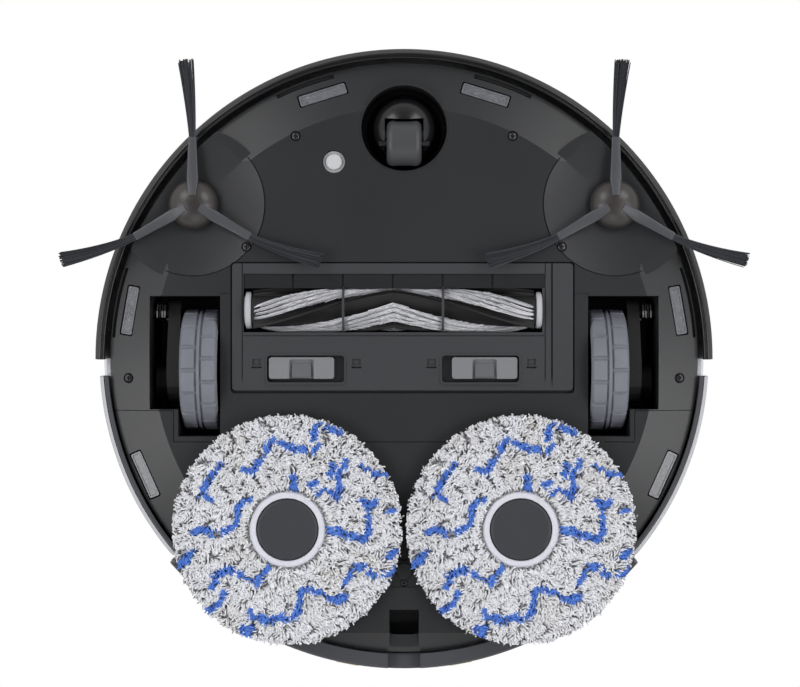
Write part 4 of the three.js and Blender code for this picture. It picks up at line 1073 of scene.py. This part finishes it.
def row_distance(x, y):
    """How far each place on the pad is from the nearest blue row, by the nearest point on each stretch."""
    nearest = np.full(x.shape, 99.0)
    for row in BLUE_ROWS:
        for (x0, y0), (x1, y1) in zip(row, row[1:]):
            span = (x1 - x0) ** 2 + (y1 - y0) ** 2
            along = np.clip(((x - x0) * (x1 - x0) + (y - y0) * (y1 - y0)) / span, 0, 1)
            nearest = np.minimum(nearest, np.hypot(x - x0 - along * (x1 - x0), y - y0 - along * (y1 - y0)))
    return nearest


def swirl_field(x, y, waves, chance):
    """A smooth random field: a sum of sine waves of random direction, length and phase."""
    total = np.zeros_like(x)
    for _ in range(waves):
        length = chance.uniform(7, 22)
        turn, phase = chance.uniform(0, 2 * np.pi), chance.uniform(0, 2 * np.pi)
        total += np.sin(2 * np.pi * (x * np.cos(turn) + y * np.sin(turn)) / length + phase)
    return total / math.sqrt(waves / 2)


def pad_strands(word, centre):
    """Looped strands. Roots follow a sunflower spiral; each strand runs off along a swirling direction
    and stands up from the cloth: height = root - dip way^0.65, thickest past the middle."""
    chance = np.random.default_rng(11)
    number = np.arange(STRANDS) + 0.5
    radius = np.sqrt(FELT_R ** 2 + ((PAD_R - 1.2) ** 2 - FELT_R ** 2) * number / STRANDS)
    turn = number * math.pi * (3 - math.sqrt(5)) + chance.normal(0, 0.02, STRANDS)
    x, y = radius * np.cos(turn), radius * np.sin(turn)
    heading = 2.2 * swirl_field(x, y, 8, chance) + chance.normal(0, 0.4, STRANDS)
    rim = np.clip((radius - (PAD_R - 6)) / 5, 0, 1)
    eye = np.clip((FELT_R + 3 - radius) / 3, 0, 1)
    outward = 0.9 + 1.3 * (rim + eye)
    way_x = np.cos(heading) + outward * np.cos(turn)
    way_y = np.sin(heading) + outward * np.sin(turn)
    norm = np.hypot(way_x, way_y) + 1e-9
    length = chance.uniform(3.4, 5.4, STRANDS)
    tall = np.clip(chance.beta(2.2, 1.6, STRANDS), 0, 1)
    along = np.linspace(0, 1, 5)[None, :]
    bow = chance.normal(0, 0.5, (STRANDS, 1)) * np.sin(np.pi * along)
    px = x[:, None] + length[:, None] * along * (way_x / norm)[:, None] - bow * (way_y / norm)[:, None]
    py = y[:, None] + length[:, None] * along * (way_y / norm)[:, None] + bow * (way_x / norm)[:, None]
    crown = 1.3 * np.clip((radius - (PAD_R - 7)) / 7, 0, 1) ** 2
    dip = (2.0 + 2.6 * tall - crown)[:, None]
    pz = 5.3 - dip * np.clip(along, 0.02, 1) ** 0.65
    reach = np.hypot(px, py)
    edge = PAD_R + chance.normal(0, 0.8, (STRANDS, 1))
    squeeze = np.clip(reach, FELT_R - 0.3, edge) / reach
    paths = np.stack([px * squeeze + centre[0], py * squeeze + centre[1], np.maximum(pz, 0.95)], -1)
    ragged = row_distance(px[:, 3], py[:, 3]) + chance.normal(0, 0.3, STRANDS)
    blue = ragged < 1.9 + 0.35 * swirl_field(x, y, 6, chance)
    thick = np.array([0.4, 0.5, 0.54, 0.52, 0.36]) * chance.uniform(0.8, 1.12, (STRANDS, 1))
    # Partly painted light: strands that stand further out of the pile are painted lighter, as if better lit;
    # the random part is the yarn's own tone.
    shade = np.clip(0.45 + 0.4 * tall + chance.normal(0, 0.16, STRANDS), 0, 1)
    for kind, chosen in (("white", ~blue), ("blue", blue)):
        layer = tubes(f"{word}_mop_{kind}_strands", paths[chosen], thick[chosen], 3)
        mark(layer, "shade", np.repeat(shade[chosen], 15))
        # Height of every point above the floor, which the yarn materials read to paint shade on the strands
        # near the cloth.
        mark(layer, "depth", np.repeat(paths[chosen][:, :, 2], 3))
        yield kind, layer


white_yarn = Finish("white_yarn", Specular_IOR_Level=0.2, Sheen_Weight=0.25, Sheen_Roughness=0.5)
strand, depth = white_yarn.attribute("shade"), white_yarn.attribute("depth")
soil = white_yarn.noise(38.0, 3.0, 0.6)
cream = white_yarn.blend(paint(176, 170, 160), paint(206, 207, 212), soil.ramp(0.34, 0.6))
pale = white_yarn.blend(cream, paint(238, 239, 243), strand)
# Painted shade: each white strand turns dark grey-brown towards its root, up by the cloth, where the pile
# shades it.
white_yarn.colour(white_yarn.blend(pale, paint(72, 69, 66), depth.ramp(2.3, 4.6) * 0.92))
white_yarn.gloss(strand * 0.1 + 0.8)
white_yarn.relief(white_yarn.noise(1500.0, 3.0, 0.7), 1.2e-4)
blue_yarn = Finish("blue_yarn", Specular_IOR_Level=0.25, Sheen_Weight=0.2, Sheen_Roughness=0.5)
strand, depth = blue_yarn.attribute("shade"), blue_yarn.attribute("depth")
ink = blue_yarn.blend(paint(40, 76, 176), paint(98, 146, 228), strand * 0.8 + blue_yarn.noise(300.0) * 0.3)
# Painted shade: each blue strand turns navy towards its root, where the pile shades it.
blue_yarn.colour(blue_yarn.blend(ink, paint(16, 22, 66), depth.ramp(2.5, 5.0) * 0.8))
blue_yarn.gloss(strand * 0.1 + 0.72)
blue_yarn.relief(blue_yarn.noise(1500.0, 3.0, 0.7), 1.2e-4)
felt = Finish("felt_base", Specular_IOR_Level=0.2, Sheen_Weight=0.3)
fluff = felt.noise(900.0, 4.0, 0.7)
felt.colour(felt.blend(paint(184, 185, 194), paint(222, 223, 232), fluff * 0.8 + felt.noise(60.0) * 0.3))
felt.gloss(fluff * 0.1 + 0.82)
felt.relief(fluff, 2e-4)
pad_hub = moulded("pad_hub", paint(52, 53, 58), 0.5, grain=2.2e-5, Specular_IOR_Level=0.35)

for side, word in SIDES:
    centre = (side * MOP[0], MOP[1])
    base = turned(f"{word}_mop_base", [
        (FELT_HOLE, 3.6), (FELT_HOLE + 0.3, 3.1), (20.4, 3.0), (21.1, 3.4), (21.6, 4.6), (60, 4.7),
        (62.6, 5.0), (63.6, 5.7), (63.2, 6.6), (61.5, 7.0), (FELT_HOLE, 7.0)], *centre, 128)
    fit(base, f"{word}_mop", "mop_fabric", felt.material, f"{word}_mop_cloth")
    for kind, layer in pad_strands(word, centre):
        yarn = white_yarn if kind == "white" else blue_yarn
        fit(layer, f"{word}_mop", "mop_fabric", yarn.material)
    plate = turned(f"{word}_mop_hub", [
        (0, 3.5), (1.0, 3.5), (16.0, 3.4), (17.0, 3.8), (17.5, 4.6), (17.5, 7.3), (58, 7.3), (58, 10.2),
        (5.6, 10.2), (5.6, 33), (0, 33)], *centre, 128)
    fit(soften(plate, 0.3), f"{word}_mop", "dark_plastic", pad_hub, f"{word}_mop_plate")

# ---- Inner parts -----------------------------------------------------------------------------
# What shows when the cover and the bin are lifted: the clear dirt bin with its pleated filter,
# fan, battery, circuit board, water tank, and the gearboxes and motors of the brushes and mops.

bin_plastic = Finish("bin_plastic", Roughness=0.2, Transmission_Weight=0.35, IOR=1.46, Coat_Weight=0.4)
haze = bin_plastic.noise(30.0, 4.0)
bin_plastic.colour(bin_plastic.blend(paint(104, 108, 114), paint(146, 150, 156), haze))
bin_plastic.gloss(haze * 0.25 + 0.14)
bin_plastic.relief(bin_plastic.noise(240.0), 1.5e-5)
paper = Finish("filter_paper", Specular_IOR_Level=0.2)
pleat = paper.node("ShaderNodeTexWave", {"wave_type": "BANDS", "bands_direction": "X"}, {
    "Vector": paper.place, "Scale": 60.0, "Distortion": 0.6, "Detail": 2.0})
# Painted shade: the paper's colour follows the pleats, pale on the crests and darker down in the folds.
paper.colour(paper.blend(paint(176, 174, 166), paint(232, 231, 224), pleat * 0.8 + paper.noise(400.0) * 0.2))
paper.gloss(paper.noise(400.0) * 0.1 + 0.8)
paper.relief(pleat, 6e-4)
wrap = Finish("battery_wrap", Coat_Weight=0.3)
crease_lines = wrap.noise(26.0, 5.0, 0.65, wrap.stretched(1, 3, 1))
# Painted shade: the wrap's colour follows its crease relief, lighter on the raised creases and darker between
# them.
wrap.colour(wrap.blend(paint(30, 34, 44), paint(52, 58, 72), crease_lines))
wrap.gloss(crease_lines * 0.3 + 0.22)
wrap.relief(crease_lines, 4e-4)
board = Finish("board_lacquer", Coat_Weight=0.5)
tracks = board.node("ShaderNodeTexBrick", {"offset": 0.37}, {
    "Vector": board.place, "Scale": 160.0, "Mortar Size": 0.05,
    "Color1": (0.3, 0.3, 0.3, 1), "Color2": (0.6, 0.6, 0.6, 1)}, output=1)
board.colour(board.blend(paint(22, 84, 48), paint(60, 140, 84), tracks * 0.6 + board.noise(90.0) * 0.4))
board.gloss(tracks * 0.1 + 0.28)
board.relief(tracks, 5e-5)
for name, material in {
    "dust_bin": bin_plastic.material, "water_tank": bin_plastic.material, "dust_filter": paper.material,
    "battery_pack": wrap.material, "main_board": board.material, "fan_housing": gear_dark,
    "fan_impeller": button_grey, "brush_gearbox": gear_dark, "mop_gearbox": gear_dark,
    "left_side_brush_motor": steel.material, "right_side_brush_motor": steel.material,
}.items():
    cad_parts[name].material_slots[0].material = material

# ---- Floor, light and camera -----------------------------------------------------------------
# A pale studio floor under the wheels, seen only from above, soft panels all round, and a camera
# square to the underside, below the machine.

HALF_FLOOR = 14000.0
floor = mesh_piece("studio_floor", [
    (x * HALF_FLOOR, y * HALF_FLOOR, 0) for x, y in ((-1, -1), (1, -1), (1, 1), (-1, 1))],
    np.array([[0, 1, 2, 3]]), weld=False)
pale_floor = Finish("pale_floor", Roughness=0.55)
pale_floor.colour(pale_floor.blend(paint(226, 227, 229), paint(238, 239, 240), pale_floor.noise(3.0, 4.0)))
clear = pale_floor.node("ShaderNodeBsdfTransparent")
facing = pale_floor.node("ShaderNodeNewGeometry", output="Backfacing")
shown = pale_floor.node("ShaderNodeMixShader", None, {
    0: facing, 1: Wire(pale_floor, pale_floor.shader.outputs[0]), 2: clear})
pale_floor.feed(pale_floor.tree.nodes["Material Output"].inputs["Surface"], shown)
floor.data.materials.append(pale_floor.material)
for ray in ("visible_shadow", "visible_diffuse", "visible_glossy", "visible_transmission"):
    setattr(floor, ray, False)

world = bpy.data.worlds.new("studio")
bpy.context.scene.world = world
world.use_nodes = True
sky = world.node_tree
sky.nodes.clear()


def add_sky(kind, settings, inputs):
    node = sky.nodes.new(kind)
    for key, value in settings.items():
        setattr(node, key, value)
    for key, value in inputs.items():
        if isinstance(value, bpy.types.NodeSocket):
            sky.links.new(value, node.inputs[key])
        else:
            node.inputs[key].default_value = value
    return node


direction = add_sky("ShaderNodeTexCoord", {}, {}).outputs["Generated"]
height = add_sky("ShaderNodeSeparateXYZ", {}, {0: direction}).outputs["Z"]
below = add_sky("ShaderNodeMapRange", {"interpolation_type": "SMOOTHSTEP"}, {
    "Value": height, 1: -0.95, 2: -0.1, 3: 0.12, 4: 0.85}).outputs[0]
above = add_sky("ShaderNodeMapRange", {"interpolation_type": "SMOOTHSTEP"}, {
    "Value": height, 1: 0.25, 2: 0.8, 3: 1.0, 4: 0.2}).outputs[0]
low = add_sky("ShaderNodeMath", {"operation": "MULTIPLY"}, {0: below, 1: above}).outputs[0]
seen = add_sky("ShaderNodeLightPath", {}, {}).outputs["Is Camera Ray"]
strength = add_sky("ShaderNodeMix", {"data_type": "FLOAT"}, {0: seen, 2: low, 3: 1.0}).outputs[0]
background = add_sky("ShaderNodeBackground", {}, {"Color": (1, 1, 1, 1), "Strength": strength})
add_sky("ShaderNodeOutputWorld", {}, {"Surface": background.outputs[0]})


def soft_panel(name, place, size, power, aim=(0, 0, 0.04)):
    """A soft square light at place, facing aim."""
    light = bpy.data.lights.new(name, "AREA")
    light.shape = "SQUARE"
    light.size = size
    light.energy = power
    lamp = bpy.data.objects.new(name, light)
    bpy.context.scene.collection.objects.link(lamp)
    lamp.location = place
    lamp.rotation_euler = (Vector(aim) - Vector(place)).to_track_quat("-Z", "Y").to_euler()
    lamp.visible_camera = False


for side, word in SIDES:
    soft_panel(f"{word}_panel", (side * 1.15, 0.3, -1.25), 0.8, 10.0)
    soft_panel(f"{word}_front_panel", (side * 0.9, -0.88, -1.15), 0.7, 6.5)
soft_panel("rear_panel", (0.0, 1.2, -1.2), 0.8, 2.5)
soft_panel("top_panel", (0.0, 0.0, 2.4), 0.9, 22)

view = bpy.data.cameras.new("view")
view.lens = 90.66
view.sensor_width = 36.0
camera = bpy.data.objects.new("view", view)
bpy.context.scene.collection.objects.link(camera)
camera.location = (-0.00235, -0.0082, -1.139)
camera.rotation_euler = (math.pi, 0, 0)
bpy.context.scene.camera = camera
bpy.context.scene.view_settings.view_transform = "Standard"
